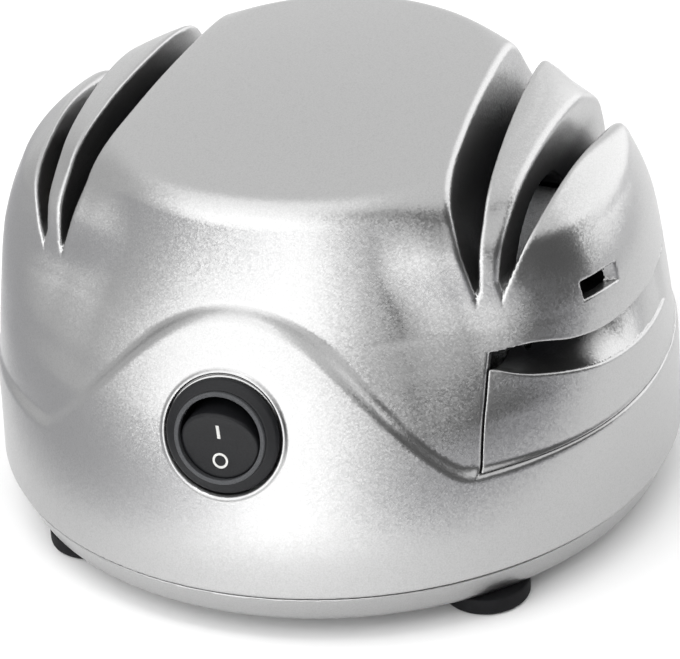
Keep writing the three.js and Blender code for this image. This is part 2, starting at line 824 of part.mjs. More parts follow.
// Case screws, driven up through the pan into the housing
bossPlaces.forEach(([x, y], i) => {
  const headLow = footDrop + screwSink;
  const headHigh = headLow + screwHeadHeight;
  let screw = turned([
    [0, headLow],
    [screwHeadRadius, headLow],
    [screwHeadRadius, headHigh],
    [screwRadius, headHigh],
    [screwRadius, seamZ + screwLength - screwRadius],
    [0, seamZ + screwLength],
  ], 16);
  const crossLow = [-crossHalf, -crossReach, 0];
  const crossHigh = [crossHalf, crossReach, headLow + crossDepth];
  screw = screw.subtract(box(crossLow, crossHigh));
  screw = screw.subtract(box([-crossReach, -crossHalf, 0], [crossReach, crossHalf, crossHigh[2]]));
  addPiece(`case_screw_${i + 1}`, moved(screw, x, y, 0), finish.steel);
});

// Filings tray: fills the side opening, its outer wall leaning in as the scissors ramp
const trayBlock = prismX(trayOutline(trayGap), trayPlane + trayGap, reach).intersect(outerCase);
addPiece("filings_tray", trayBlock.subtract(scissorsWedge()).subtract(trayHollow()), finish.silver);

// Rocker switch: round body with a raised ring, rocker, and two flat terminals behind
function makeSwitchBody() {
  const rim = bezelThickness + bezelRingRise;
  const body = turned([
    [0, -switchDepth],
    [switchBodyRadius, -switchDepth],
    [switchBodyRadius, 0],
    [bezelRadius, 0],
    [bezelRadius, bezelThickness - bezelRound],
    [bezelRadius - bezelRound, bezelThickness],
    [bezelRingRadius, bezelThickness],
    [bezelRingRadius - clearance, rim],
    [rockerOpening, rim],
    [rockerOpening, -rockerWell],
    [0, -rockerWell],
  ], 48);
  return placed(body, switchFrame);
}
addPiece("switch_body", makeSwitchBody(), finish.black);

// Rocker: oval in plan, with a dished face, made round its pivot and then tipped to its rest
function makeRocker() {
  const plan = bar(rockerHalfLength, -rockerDrop, rockerEndHeight, 64);
  const oval = placed(plan, new THREE.Matrix4().makeScale(rockerHalfWidth / rockerHalfLength, 1, 1));
  const half = rockerHalfLength;
  const dishRadius = (half * half + rockerDish * rockerDish) / (2 * rockerDish);
  const dish = placed(bar(dishRadius, -half * 2, half * 2, 160), onX);
  const face = moved(dish, 0, 0, rockerEndHeight - rockerDish + dishRadius);
  const tip = switchFrame.clone()
    .multiply(new THREE.Matrix4().makeTranslation(0, 0, -rockerPivotDepth))
    .multiply(new THREE.Matrix4().makeRotationX((rockerTilt / 2) * radians));
  return placed(oval.subtract(face), tip);
}
addPiece("switch_rocker", makeRocker(), finish.black);

[-1, 1].forEach((side, i) => {
  const x = side * terminalSpread;
  const blade = box(
    [x - terminalThickness / 2, -terminalWidth / 2, -switchDepth - terminalLength],
    [x + terminalThickness / 2, terminalWidth / 2, -switchDepth],
  );
  addPiece(`switch_terminal_${i + 1}`, placed(blade, switchFrame), finish.brass);
});

// Cord inlet: a grooved rubber bush in the back wall, its bore free for a cord
function makeGland() {
  const outer = glandSeat + glandFlangeThickness;
  const inner = glandSeat - glandGrip;
  const bush = turned([
    [glandBore, inner - glandFlangeThickness],
    [glandFlange, inner - glandFlangeThickness],
    [glandFlange, inner],
    [glandRadius, inner],
    [glandRadius, glandSeat],
    [glandFlange, glandSeat],
    [glandFlange, outer],
    [glandBore, outer],
    [glandBore, inner - glandFlangeThickness],
  ], 28);
  return fromBack(bush);
}
addPiece("cord_gland", makeGland(), finish.rubber);

// Terminal block on the floor, inside the cord inlet
function makeBlock() {
  const blockY = panBottomRadius - panEdge - lipThickness - blockInset - blockDepth;
  const blockTop = panFloor + blockHeight;
  let block = box([-blockHalf, blockY, panFloor], [blockHalf, blockY + blockDepth, blockTop]);
  for (const step of [-1, 0, 1]) {
    const well = bar(blockBore, panFloor + blockHeight / 2, blockTop + overrun, 16);
    block = block.subtract(moved(well, step * blockPitch, blockY + blockDepth / 2, 0));
  }
  return block;
}
addPiece("terminal_block", makeBlock(), finish.nylon);

// Motor: a laminated frame with a round bore, and a wound leg behind it
const boreRadius = rotorRadius + airGap;
const legFront = windowFront + windowWidth;
const legBack = legFront + legThickness;
const windowReach = statorReach - legThickness;
function circle(radius, count, y, z) {
  return Array.from({ length: count }, (_, i) => {
    const turn = (2 * Math.PI * i) / count;
    return [y + radius * Math.cos(turn), z + radius * Math.sin(turn)];
  });
}
function rectangle(y0, y1, z0, z1) {
  return [[y0, z0], [y1, z0], [y1, z1], [y0, z1]];
}
function makeStator() {
  const outline = rectangle(
    -statorFront, legBack, shaftZ - statorReach, shaftZ + statorReach,
  );
  const opening = rectangle(windowFront, legFront, shaftZ - windowReach, shaftZ + windowReach);
  let stack = prismX(outline, -stackHalf, stackHalf);
  stack = stack.subtract(prismX(opening, -overrun - stackHalf, overrun + stackHalf));
  const bore = circle(boreRadius, 48, 0, shaftZ);
  stack = stack.subtract(prismX(bore, -overrun - stackHalf, overrun + stackHalf));
  for (const side of [-1, 1]) {
    const hole = circle(boltRadius + clearance, 16, 0, shaftZ + side * boltPlace);
    stack = stack.subtract(prismX(hole, -overrun - stackHalf, overrun + stackHalf));
  }
  return stack;
}
addPiece("motor_stator", makeStator(), finish.steel);

// Bobbin and winding round the back leg
const legMiddle = (legFront + legBack) / 2;
const bobbinReach = windowReach - clearance;
function sleeve(grow, thickness, low, high) {
  const [halfX, halfY] = [stackHalf + grow, legThickness / 2 + grow];
  const outer = box(
    [-halfX - thickness, legMiddle - halfY - thickness, low],
    [halfX + thickness, legMiddle + halfY + thickness, high],
  );
  const inner = box([-halfX, legMiddle - halfY, low - overrun], [halfX, legMiddle + halfY, high + overrun]);
  return outer.subtract(inner);
}
function makeBobbin() {
  const [low, high] = [shaftZ - bobbinReach, shaftZ + bobbinReach];
  let bobbin = sleeve(clearance, bobbinWall, low, high);
  bobbin = bobbin.add(sleeve(clearance, coilBuild, low, low + bobbinWall));
  return bobbin.add(sleeve(clearance, coilBuild, high - bobbinWall, high));
}
addPiece("motor_bobbin", makeBobbin(), finish.nylon);
const coilReach = bobbinReach - bobbinWall - clearance;
const coilGrow = bobbinWall + clearance * 2;
const coil = sleeve(coilGrow, coilBuild - coilGrow, shaftZ - coilReach, shaftZ + coilReach);
addPiece("motor_coil", coil, finish.copper);

// Bearing brackets: bridges over both ends of the bore, with a bearing in each
function sided(side, low, high) {
  return side > 0 ? box(low, high) : box([-high[0], low[1], low[2]], [-low[0], high[1], high[2]]);
}
[-1, 1].forEach((side, i) => {
  const outerFace = bracketFace + bracketThickness;
  const width = bracketHalfWidth;
  let bracket = sided(
    side,
    [bracketFace, -width, shaftZ - bracketShoulder],
    [outerFace, width, shaftZ + bracketShoulder],
  );
  for (const end of [-1, 1]) {
    const knee = shaftZ + end * bracketShoulder;
    const inside = knee - end * bracketThickness;
    const foot = shaftZ + end * statorReach;
    bracket = bracket.add(sided(
      side,
      [stackHalf, -width, Math.min(knee, inside)],
      [outerFace, width, Math.max(knee, inside)],
    ));
    bracket = bracket.add(sided(
      side,
      [stackHalf, -width, Math.min(foot, inside)],
      [stackHalf + bracketThickness, width, Math.max(foot, inside)],
    ));
    const hole = circle(boltRadius + clearance, 16, 0, shaftZ + end * boltPlace);
    bracket = bracket.subtract(prismX(hole, -seamRadius, seamRadius));
  }
  const eye = circle(bearingRadius + pressGap * 2, 28, 0, shaftZ);
  bracket = bracket.subtract(prismX(eye, -seamRadius, seamRadius));
  addPiece(`bearing_bracket_${i + 1}`, bracket, finish.steel);

  const flangeFace = bracketFace - bearingFlangeThickness;
  const bearing = turned([
    [shaftRadius + runningGap, flangeFace],
    [bearingFlange, flangeFace],
    [bearingFlange, bracketFace],
    [bearingRadius, bracketFace],
    [bearingRadius, flangeFace + bearingLength],
    [shaftRadius + runningGap, flangeFace + bearingLength],
    [shaftRadius + runningGap, flangeFace],
  ], 28);
  addPiece(`bearing_${i + 1}`, onShaft(side, bearing), finish.brass);
});

// Two long bolts that clamp both brackets to the frame, each with a nut
[-1, 1].forEach((end, i) => {
  const face = stackHalf + bracketThickness;
  const bolt = turned([
    [0, -face - boltHeadHeight],
    [boltHeadRadius, -face - boltHeadHeight],
    [boltHeadRadius, -face],
    [boltRadius, -face],
    [boltRadius, face + boltTail],
    [0, face + boltTail],
  ], 16);
  const height = shaftZ + end * boltPlace;
  addPiece(`motor_bolt_${i + 1}`, moved(placed(bolt, onX), 0, 0, height), finish.steel);
  const nut = hexNut(boltHeadRadius, boltRadius + pressGap, face, face + boltHeadHeight);
  addPiece(`motor_nut_${i + 1}`, moved(placed(nut, onX), 0, 0, height), finish.steel);
});

// Everything that spins: shaft, rotor, fan, and at each end a wheel with flange and nut
const shaftHalf = wheelFace + nutThickness + shaftEnd;
const seatRadius = shaftRadius + pressGap;
addPiece("motor_shaft", onShaft(1, bar(shaftRadius, -shaftHalf, shaftHalf, 28)), finish.steel);
const rotorHalf = stackHalf + rotorOverhang;
const rotor = ring(rotorRadius, seatRadius, -rotorHalf, rotorHalf, 40);
addPiece("motor_rotor", onShaft(1, rotor), finish.steel);

function makeFan() {
  let fan = ring(fanHubRadius, seatRadius, fanStart, fanStart + fanLength, 28);
  fan = fan.add(ring(fanRadius, seatRadius, fanStart, fanStart + fanDisc, 36));
  const bladeEnd = fanStart + fanLength;
  for (let i = 0; i < fanBlades; i += 1) {
    const blade = box(
      [fanHubRadius - fanDisc, -fanBladeThickness / 2, fanStart],
      [fanRadius - fanDisc, fanBladeThickness / 2, bladeEnd],
    );
    const turn = new THREE.Matrix4().makeRotationZ((2 * Math.PI * i) / fanBlades);
    fan = fan.add(placed(blade, turn));
  }
  return onShaft(-1, fan);
}
addPiece("cooling_fan", makeFan(), finish.nylon);

[[-1, "coarse"], [1, "fine"]].forEach(([side, grit]) => {
  const wheel = turned([
    [seatRadius, wheelInner],
    [wheelRadius - wheelChamfer, wheelInner],
    [wheelRadius, wheelInner + wheelChamfer],
    [wheelRadius, wheelFace - wheelChamfer],
    [wheelRadius - wheelChamfer, wheelFace],
    [seatRadius, wheelFace],
    [seatRadius, wheelInner],
  ], 48);
  const look = grit === "coarse" ? finish.coarseGrit : finish.fineGrit;
  addPiece(`${grit}_wheel`, onShaft(side, wheel), look);
  const flange = ring(flangeRadius, seatRadius, wheelInner - flangeThickness, wheelInner, 28);
  addPiece(`${grit}_wheel_flange`, onShaft(side, flange), finish.steel);
  const nut = hexNut(nutRadius, seatRadius, wheelFace, wheelFace + nutThickness);
  addPiece(`${grit}_wheel_nut`, onShaft(side, nut), finish.steel);
});

// Screwdriver guide: a black sleeve behind the slot in the right shoulder
const sleeveOuter = toolCut(toolGuideWall, -toolSkin - toolGuideLength, -toolSkin - toolSeatGap);
addPiece("screwdriver_guide", sleeveOuter.subtract(toolCut(0, -toolReach, overrun)), finish.black);

export default sharpener;
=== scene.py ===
import math

import bpy
import numpy as np
from mathutils import Matrix, Vector


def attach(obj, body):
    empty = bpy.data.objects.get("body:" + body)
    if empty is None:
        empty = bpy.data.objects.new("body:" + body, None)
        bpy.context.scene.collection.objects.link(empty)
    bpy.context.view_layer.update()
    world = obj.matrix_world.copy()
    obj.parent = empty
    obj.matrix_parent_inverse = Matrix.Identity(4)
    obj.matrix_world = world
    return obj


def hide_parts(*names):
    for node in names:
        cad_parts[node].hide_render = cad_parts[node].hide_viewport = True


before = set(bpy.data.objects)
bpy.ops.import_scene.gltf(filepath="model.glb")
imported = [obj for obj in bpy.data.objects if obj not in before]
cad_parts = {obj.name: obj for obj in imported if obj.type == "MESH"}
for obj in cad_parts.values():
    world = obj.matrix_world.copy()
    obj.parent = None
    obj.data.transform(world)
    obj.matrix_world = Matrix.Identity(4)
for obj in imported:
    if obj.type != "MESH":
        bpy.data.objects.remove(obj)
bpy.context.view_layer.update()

# Camera: a long lens in front and a little to the right of the switch, looking
# down by thirty degrees, as a product photographer would set it on a tripod.
turn, fall, roll = math.radians(20.777), math.radians(30.428), math.radians(3.998)
side = Vector((math.cos(turn), math.sin(turn), 0))
level = Vector((-math.sin(turn), math.cos(turn), 0))
sight = level * math.cos(fall) - Vector((0, 0, math.sin(fall)))
rise = level * math.sin(fall) + Vector((0, 0, math.cos(fall)))
target = side * 0.00059 + Vector((0, 0, 0.03081))
distance = 0.90251
focal_pixels, frame_pixels = 4395.0, 680
lens = bpy.data.cameras.new("long_lens")
lens.sensor_width = 36
lens.lens = focal_pixels / frame_pixels * 36
lens.clip_end = 10
camera = bpy.data.objects.new("camera", lens)
bpy.context.scene.collection.objects.link(camera)
bpy.context.scene.camera = camera
across = side * math.cos(roll) - rise * math.sin(roll)
upward = side * math.sin(roll) + rise * math.cos(roll)
camera.matrix_world = Matrix.Translation(target - sight * distance) @ Matrix(
    (across, upward, -sight)
).transposed().to_4x4()


# Housing: one ABS moulding, injection moulded with its blade slots, then sprayed with
# silver lacquer. It stands on the base pan and is screwed to it from below.
# All the lengths in this section are millimetres, and heights count from the seam.
mm = 0.001
seam = 11.2  # the seam's own height above the table
crown = 79.0  # top of the body
shell = 2.4  # thickness of the walls
step_height, hump_height, hump_reach = 21.5, 54, 66  # the wavy step, highest at the front
crown_across, crown_front, crown_back = 410, 442, 680  # twice the radii of the crown's dome
back_cut = 4.5  # how much further in the upper wall stands at the back

# The body's outline in three upright sections, as height and radius: through a
# shoulder, through the front wall above the wavy step, and below the step.
shoulder_line = [
    (0, 70), (11.06, 69.58), (21.33, 69.16), (37.13, 67.48), (48.19, 65.87), (54.04, 64.26),
    (59.01, 62.23), (62.96, 59.99), (67.55, 54.04), (69.99, 51.31), (71.97, 48.79),
    (73.47, 46.62), (75.05, 44.03), (79, 35),
]
front_line = [
    (0, 68.95), (22.12, 66.08), (30.81, 64.05), (36.02, 61.6), (39.5, 60.06), (42.66, 58.1),
    (45.82, 56), (48.19, 54.39), (54.04, 52.01), (62.96, 49.49), (75.05, 46.97), (79, 46.2),
]
skirt_line = [
    (0, 70), (11.06, 69.3), (22.12, 67.41), (33.18, 64.47), (40.29, 61.67), (47, 58.1),
    (54.04, 53.9), (63.2, 48.3),
]


def smooth_line(points, step=0.05):
    """A smooth curve through the points, sampled for quick reading, and its slope."""
    h = np.array([p[0] for p in points], float)
    r = np.array([p[1] for p in points], float)
    inner = (r[2:] - r[:-2]) / (h[2:] - h[:-2])
    ends = (r[1:] - r[:-1]) / (h[1:] - h[:-1])
    slope = np.concatenate(([ends[0]], inner, [ends[-1]]))
    t = np.arange(h[0], h[-1] + step, step).clip(h[0], h[-1])
    i = np.clip(np.searchsorted(h, t, side="right") - 1, 0, len(h) - 2)
    span = h[i + 1] - h[i]
    s = (t - h[i]) / span
    value = r[i] + (r[i + 1] - r[i]) * s * s * (3 - 2 * s)
    value += s * (1 - s) ** 2 * span * slope[i] + s * s * (s - 1) * span * slope[i + 1]
    return t, value, np.gradient(value, t)


def read(line, at):
    return np.interp(at, line[0], line[1]), np.interp(at, line[0], line[2])


def ease(low, high, value):
    s = np.clip((value - low) / (high - low), 0, 1)
    return s * s * (3 - 2 * s)


def join(a, b, blend):
    """Union of two solids, given as signed distances, with a hollow fillet."""
    h = np.clip(blend - np.abs(a - b), 0, None) / blend
    return np.minimum(a, b) - h * h * blend / 4


def meet(a, b, blend):
    """What two solids share, with the edge between them rounded."""
    h = np.clip(blend - np.abs(a - b), 0, None) / blend
    return np.maximum(a, b) + h * h * blend / 4


shoulder_curve = smooth_line(shoulder_line)
front_curve = smooth_line(front_line)
skirt_curve = smooth_line(skirt_line)


def body(x, y, z):
    """Signed distance to the whole closed form of the housing, slots not yet cut."""
    r = np.hypot(x, y)
    angle = np.degrees(np.arctan2(np.abs(x), -y))
    fold = np.minimum(angle, 180 - angle)
    # Upper wall: it turns from the front's section into the shoulder's round the body,
    # lower down a little further round, and it is cut in at the back.
    sides, side_slope = read(shoulder_curve, z)
    front, front_slope = read(front_curve, z)
    cutback = back_cut * ease(35.5, 59.2, z) * (1 - 0.7 * ease(30, 42, np.abs(x)))
    front = front - np.where(angle > 90, cutback, 0)
    low = 1 - ease(50, 62, z)
    blend = (ease(30 + 4 * low, 56 + 4 * low, fold) + ease(44 + 2 * low, 72, fold)) / 2
    wall = front + (sides - front) * blend
    slope = front_slope + (side_slope - front_slope) * blend
    upper = (r - wall) / np.sqrt(1 + slope * slope)
    dome = x * x / crown_across + y * y / np.where(y < 0, crown_front, crown_back)
    upper = meet(upper, z - (crown - dome), 4.2)
    # Skirt below the wavy step: from its section at the front to a wider ring at the sides
    skirt, skirt_slope = read(skirt_curve, z)
    ring = sides + 0.5 * ease(0, step_height, z)
    blend = ease(30, 75, angle)
    low_wall = skirt + (ring - skirt) * blend
    slope = skirt_slope + (side_slope - skirt_slope) * blend
    lower = (r - low_wall) / np.sqrt(1 + slope * slope)
    # The step: a wave over the switch that runs out level at the sides and behind
    hump = hump_height - 22 * (1 - np.cos(np.pi * np.clip(np.abs(x) / hump_reach, 0, 1)))
    gap = hump - step_height
    crest = step_height + (gap + np.sqrt(gap * gap + 2.6)) / 2
    crest = np.where(angle > 90, step_height, crest)
    ledge = z - crest - 0.3 * (low_wall - r)
    lower = meet(lower, ledge, 1.4)
    return join(upper, lower, 1.0)


# Places of the slot walls along X, at a given Y and height, for the right-hand pair. The
# plateau's and the shoulder's walls lean towards the fin, and all the walls toe in or out.
inner_lean, outer_lean = 0.27, 0.28
inner_mouth, outer_mouth = 75.5, 67.4
slot_edge = 1.2
steep = 3  # rise of a slot's pointed bottom for each unit across it


def plateau_wall(y, z):
    return 32.35 - 0.1 * y + 0.03 * np.clip(y + 20, 0, None) + inner_lean * (inner_mouth - z)


def fin_inner(y):
    return 40.05 - 0.085 * y


def fin_outer(y):
    return 47.95 + 0.033 * y


def shoulder_wall(y, z):
    return 53.85 + 0.06 * y + outer_lean * (z - outer_mouth)


# Heights of the slots' narrow bottoms, where their walls come together
def inner_tip(y):
    return 77.4 - (6.9 + 0.015 * y) / inner_lean


def outer_tip(y):
    return 69.1 - (5.1 + 0.027 * y) / outer_lean


# Lower edge of the right shoulder and rim of the filings tray, as Y and height, and how
# far the tray's ramp runs outward for each unit of height, as Y and run.
lip_line = [
    (-52.5, 42.84), (-39.2, 43.19), (-34.58, 43.68), (-28.63, 42), (-19.88, 40.74),
    (-10.99, 40.25), (0, 40.04), (14, 40.04), (56, 40.04),
]
rim_line = [
    (-52.5, 42), (-42, 41.16), (-40.04, 40.18), (-38.5, 39.06), (-36.61, 38.01), (-33.39, 36.89),
    (-29.47, 35.7), (-24.08, 34.3), (-17.29, 33.18), (-9.8, 32.34), (-2.1, 31.85), (7, 31.57),
    (21, 31.57),
]
ramp_line = [
    (-52.5, 7), (-35, 7), (-29.4, 4.5), (-25.2, 2.4), (-21, 1.3), (-14, 0.6), (-7, 0.3),
    (0, 0.15), (14, 0.13),
]
lip_curve = smooth_line(lip_line)
rim_curve = smooth_line(rim_line)
ramp_curve = smooth_line(ramp_line)

switch_x, switch_y, switch_z, switch_lean = -0.7, -63.243, 32.57, math.radians(14.5)
seat_radius, switch_depth = 13.2, 16


def switch_place(y, z):
    """Distances up the leaning front wall and out of it, from the switch's middle."""
    dy, dz = y - switch_y, z - switch_z
    up = dy * math.sin(switch_lean) + dz * math.cos(switch_lean)
    out = -dy * math.cos(switch_lean) + dz * math.sin(switch_lean)
    return up, out


tool_x, tool_y, tool_z = 62.78, -19, 50
tool_turn, tool_fall = math.radians(16.84), math.radians(18)
tool_height, tool_length, tool_depth = 3.8, 11.4, 20


def tool_place(x, y, z):
    """Places in the screwdriver slot: down across it, along it, and out of it."""
    dx, dy, dz = x - tool_x, y - tool_y, z - tool_z
    ahead = dx * math.cos(tool_turn) - dy * math.sin(tool_turn)
    down = ahead * math.sin(tool_fall) - dz * math.cos(tool_fall)
    out = ahead * math.cos(tool_fall) + dz * math.sin(tool_fall)
    return down, dx * math.sin(tool_turn) + dy * math.cos(tool_turn), out


def cut_slots(solid, x, y, z):
    """The body less its four blade slots, each with a steep point for a bottom."""
    ax = np.abs(x)
    inner = np.maximum(plateau_wall(y, z) - ax, ax - fin_inner(y))
    point = inner_tip(y) - z + steep * np.abs(ax - fin_inner(y) + 0.4)
    inner = np.maximum(inner, point / steep)
    outer = np.maximum(fin_outer(y) - ax, ax - shoulder_wall(y, z))
    point = outer_tip(y) - z + steep * np.abs(ax - fin_outer(y) - 0.7)
    outer = np.maximum(outer, point / steep)
    blunt = 2.6 * ease(50, 55, ax) * ease(-10, 20, y)
    return meet(meet(solid, -inner, slot_edge), -outer, slot_edge + blunt)


def hollow(solid, x, y, z):
    """The room inside the shell, less the walls that carry the slots."""
    ax = np.abs(x)
    tip = np.minimum(inner_tip(y), outer_tip(y)) - shell
    trough = np.maximum(plateau_wall(y, z) - shell - ax, ax - shoulder_wall(y, z) - shell)
    trough = np.maximum(trough, tip - z)
    return np.maximum(solid + shell, -trough)


shaft_height, wheel_middle = 31, 44
screw_x, screw_y = 25, 50
boss_radius, pilot_radius = 4.6, 1.7
inlet_height = 10


def housing_form(x, y, z):
    solid = body(x, y, z)
    form = cut_slots(solid, x, y, z)
    form = meet(form, -z, 0.7)
    # Seat of the switch, and the screwdriver slot, which twists and widens outward
    up, out = switch_place(y, z)
    across_switch = np.hypot(x - switch_x, up)
    form = np.maximum(form, -np.maximum(across_switch - seat_radius, -out - switch_depth))
    down, along, out = tool_place(x, y, z)
    down = down - 0.09 * along
    flare = np.clip(solid, -shell, 0)
    slot = np.maximum(-down - tool_height / 2, down - tool_height / 2 - 0.25 * flare)
    slot = np.maximum(slot, np.maximum(-along - tool_length / 2, along - tool_length / 2 - 0.9 * flare))
    form = meet(form, -np.maximum(slot, np.maximum(-tool_depth - out, out - 6)), 0.4)
    # Flat and hole for the cord inlet in the back wall
    round_inlet = np.hypot(x, z - inlet_height)
    form = meet(form, -np.maximum(round_inlet - 7.3, 68.7 - y), 0.5)
    form = np.maximum(form, -np.maximum(round_inlet - 5.5, 50 - y))
    # Pockets for the wheels, longer towards the front
    pocket = np.minimum(np.hypot(y, z - shaft_height) - 25.6, np.hypot(y + 8.5, z - 46) - 18)
    pocket = np.maximum(np.abs(np.abs(x) - wheel_middle) - 5.1, pocket)
    form = np.maximum(form, -pocket)
    # Room inside, with a bored boss left in it for each case screw
    room = hollow(solid, x, y, z)
    boss = np.hypot(np.abs(x) - screw_x, np.abs(y) - screw_y)
    room = np.maximum(room, -np.maximum(boss - boss_radius, z - 51))
    form = np.maximum(form, -room)
    form = np.maximum(form, -np.maximum(boss - pilot_radius, z - 15))
    # Opening at the right that the filings tray fills, and the two rails it slides on
    lip = read(lip_curve, y)[0]
    opening = np.maximum(45.8 - x, np.maximum(step_height - z, z - lip))
    form = meet(form, -opening, 0.5 - 0.3 * ease(-15, 5, y))
    rail = np.maximum(np.abs(np.abs(y) - 31) - 2, np.abs(z - 20.3) - 1.2)
    rail = np.maximum(rail, np.maximum(40 - x, solid + 1))
    return np.minimum(form, rail)


def skin(form, xs, ys, zs):
    """Quads over the surface of a form: one vertex in each cell that it crosses."""
    value = form(*np.meshgrid(xs, ys, zs, indexing="ij")).astype(np.float32)
    solid = value < 0
    count = np.zeros(tuple(n - 1 for n in solid.shape), np.int8)
    corners = [(i, j, k) for i in (0, 1) for j in (0, 1) for k in (0, 1)]
    nx, ny, nz = count.shape
    for i, j, k in corners:
        count += solid[i : i + nx, j : j + ny, k : k + nz]
    cells = np.argwhere((count > 0) & (count < 8))
    number = np.full(count.shape, -1, np.int32)
    number[tuple(cells.T)] = np.arange(len(cells))
    place = [xs, ys, zs]
    total = np.zeros((len(cells), 3))
    hits = np.zeros(len(cells))
    for a in range(8):
        for axis in range(3):
            if corners[a][axis]:
                continue
            start = cells + np.array(corners[a])
            end = start.copy()
            end[:, axis] += 1
            va, vb = value[tuple(start.T)], value[tuple(end.T)]
            cross = (va < 0) != (vb < 0)
            share = np.where(cross, va / np.where(cross, va - vb, 1), 0)
            for d in range(3):
                pa, pb = place[d][start[:, d]], place[d][end[:, d]]
                total[:, d] += np.where(cross, pa + (pb - pa) * share, 0)
            hits += cross
    points = total / hits[:, None]
    quads = []
    for axis in range(3):
        ends = [slice(None)] * 3
        starts = [slice(None)] * 3
        starts[axis], ends[axis] = slice(0, -1), slice(1, None)
        for d in range(3):
            if d != axis:
                starts[d] = ends[d] = slice(1, -1)
        a, b = solid[tuple(starts)], solid[tuple(ends)]
        u, v = (axis + 1) % 3, (axis + 2) % 3
        for outward in (True, False):
            edges = np.argwhere((a & ~b) if outward else (~a & b))
            edges[:, u] += 1
            edges[:, v] += 1
            around = []
            for du, dv in ((-1, -1), (0, -1), (0, 0), (-1, 0)):
                cell = edges.copy()
                cell[:, u] += du
                cell[:, v] += dv
                around.append(number[tuple(cell.T)])
            quad = np.stack(around, 1)
            quads.append(quad if outward else quad[:, ::-1])
    return points, np.concatenate(quads)


def steepest(form, points, step):
    """Direction in which a form's distance grows fastest, and how fast."""
    slope = np.zeros_like(points)
    for d in range(3):
        ahead, behind = points.copy(), points.copy()
        ahead[:, d] += step
        behind[:, d] -= step
        slope[:, d] = (form(*ahead.T) - form(*behind.T)) / (2 * step)
    return slope


def settle(form, points, reach):
    """Moves vertices on to the surface, and gives the surface's own normals there."""
    points = points.copy()
    for _ in range(3):
        slope = steepest(form, points, 0.03)
        step = form(*points.T) / np.clip((slope**2).sum(1), 0.2, None)
        move = slope * step[:, None]
        size = np.linalg.norm(move, axis=1)
        points -= move * np.minimum(1, reach / np.clip(size, 1e-9, None))[:, None]
    slope = steepest(form, points, 0.12)
    return points, slope / np.linalg.norm(slope, axis=1)[:, None].clip(1e-6)


def moulding(name, points, quads, normals, painted_shade_fade=None):
    """A mesh object in metres from points in millimetres above the seam."""
    used = np.unique(quads)
    renumber = np.zeros(len(points), np.int64)
    renumber[used] = np.arange(len(used))
    points, normals, quads = points[used], normals[used], renumber[quads]
    mesh = bpy.data.meshes.new(name)
    raised = (points + np.array([0, 0, seam])) * mm
    mesh.from_pydata(raised.tolist(), [], quads.tolist())
    # Depth fade of the lacquer into painted shade, kept with each vertex
    if painted_shade_fade is not None:
        shade_depth_fade = mesh.attributes.new("painted_shade_fade", "FLOAT", "POINT")
        shade_depth_fade.data.foreach_set("value", painted_shade_fade[used].astype(np.float32))
    mesh.polygons.foreach_set("use_smooth", np.ones(len(quads), bool))
    mesh.normals_split_custom_set_from_vertices(normals.tolist())
    made = bpy.data.objects.new(name, mesh)
    bpy.context.scene.collection.objects.link(made)
    return made


def stepped(*stretches):
    """Grid places from stretches of start, end and spacing that follow each other."""
    places = [np.arange(low, high - gap / 2, gap) for low, high, gap in stretches]
    return np.concatenate(places + [[stretches[-1][1]]])


# The grid is finest at the seam, the step, the slots and the tray's corner
housing_x = stepped(
    (-71, -58, 1), (-58, -30, 0.5), (-30, 30, 1.1), (30, 44.5, 0.5), (44.5, 47.5, 0.25),
    (47.5, 67, 0.5), (67, 71, 0.8),
)
housing_y = stepped((-71, -27, 0.9), (-27, -11, 0.5), (-11, 72, 0.95))
housing_z = stepped(
    (-0.6, 1.8, 0.3), (1.8, 20.5, 1.1), (20.5, 22.5, 0.25), (22.5, 39.2, 0.95), (39.2, 44.6, 0.27),
    (44.6, 55.6, 0.5), (55.6, 81, 0.65),
)
raw, quads = skin(housing_form, housing_x, housing_y, housing_z)
points, normals = settle(housing_form, raw, 0.45)
# One moulding in three meshes: the skin, the walls of its slots, and its unseen inside,
# which is thinned out. The lacquer fades into painted shade between 1 and 16 mm below the
# skin.
depth = -body(*points.T)
lining = hollow(-depth, *points.T)
painted_shade_fade = 1 - ease(1, 16, depth)
inner_quads = (np.abs(lining) < 0.15)[quads].all(1)
slot_quads = (depth > 1.6)[quads].all(1) & ~inner_quads
housing = moulding("housing_shell", points, quads[~inner_quads & ~slot_quads], normals, painted_shade_fade)
housing_slots = moulding("housing_slot_walls", points, quads[slot_quads], normals, painted_shade_fade)
housing_inside = moulding("housing_inside", points, quads[inner_quads], normals, painted_shade_fade)
slim = housing_inside.modifiers.new("slim", "DECIMATE")
slim.ratio = 0.2
bpy.context.view_layer.update()
slimmed = bpy.data.meshes.new_from_object(
    housing_inside.evaluated_get(bpy.context.evaluated_depsgraph_get())
)
housing_inside.modifiers.clear()
housing_inside.data = slimmed


def shade(code):
    """An sRGB colour, written as a hex number, as linear light."""
    parts = [(code >> shift & 255) / 255 for shift in (16, 8, 0)]
    linear = [p / 12.92 if p <= 0.04045 else ((p + 0.055) / 1.055) ** 2.4 for p in parts]
    return (*linear, 1.0)


def add(tree, kind, inputs=(), stops=(), **settings):
    """Adds one node with its settings, its inputs linked or set, and its ramp's stops."""
    made = tree.nodes.new(kind)
    for key, value in settings.items():
        if hasattr(made, key):
            setattr(made, key, value)
        else:
            made.inputs[key.replace("_", " ")].default_value = value
    for socket, source in inputs:
        if isinstance(source, bpy.types.NodeSocket):
            tree.links.new(source, made.inputs[socket])
        else:
            made.inputs[socket].default_value = source
    for i, (place, code) in enumerate(stops):
        ramp = made.color_ramp.elements
        stop = ramp[i] if i < 2 else ramp.new(place)
        stop.position, stop.color = place, shade(code)
    return made


def fresh(name):
    material = bpy.data.materials.new(name)
    material.use_nodes = True
    material.node_tree.nodes.clear()
    return material, material.node_tree
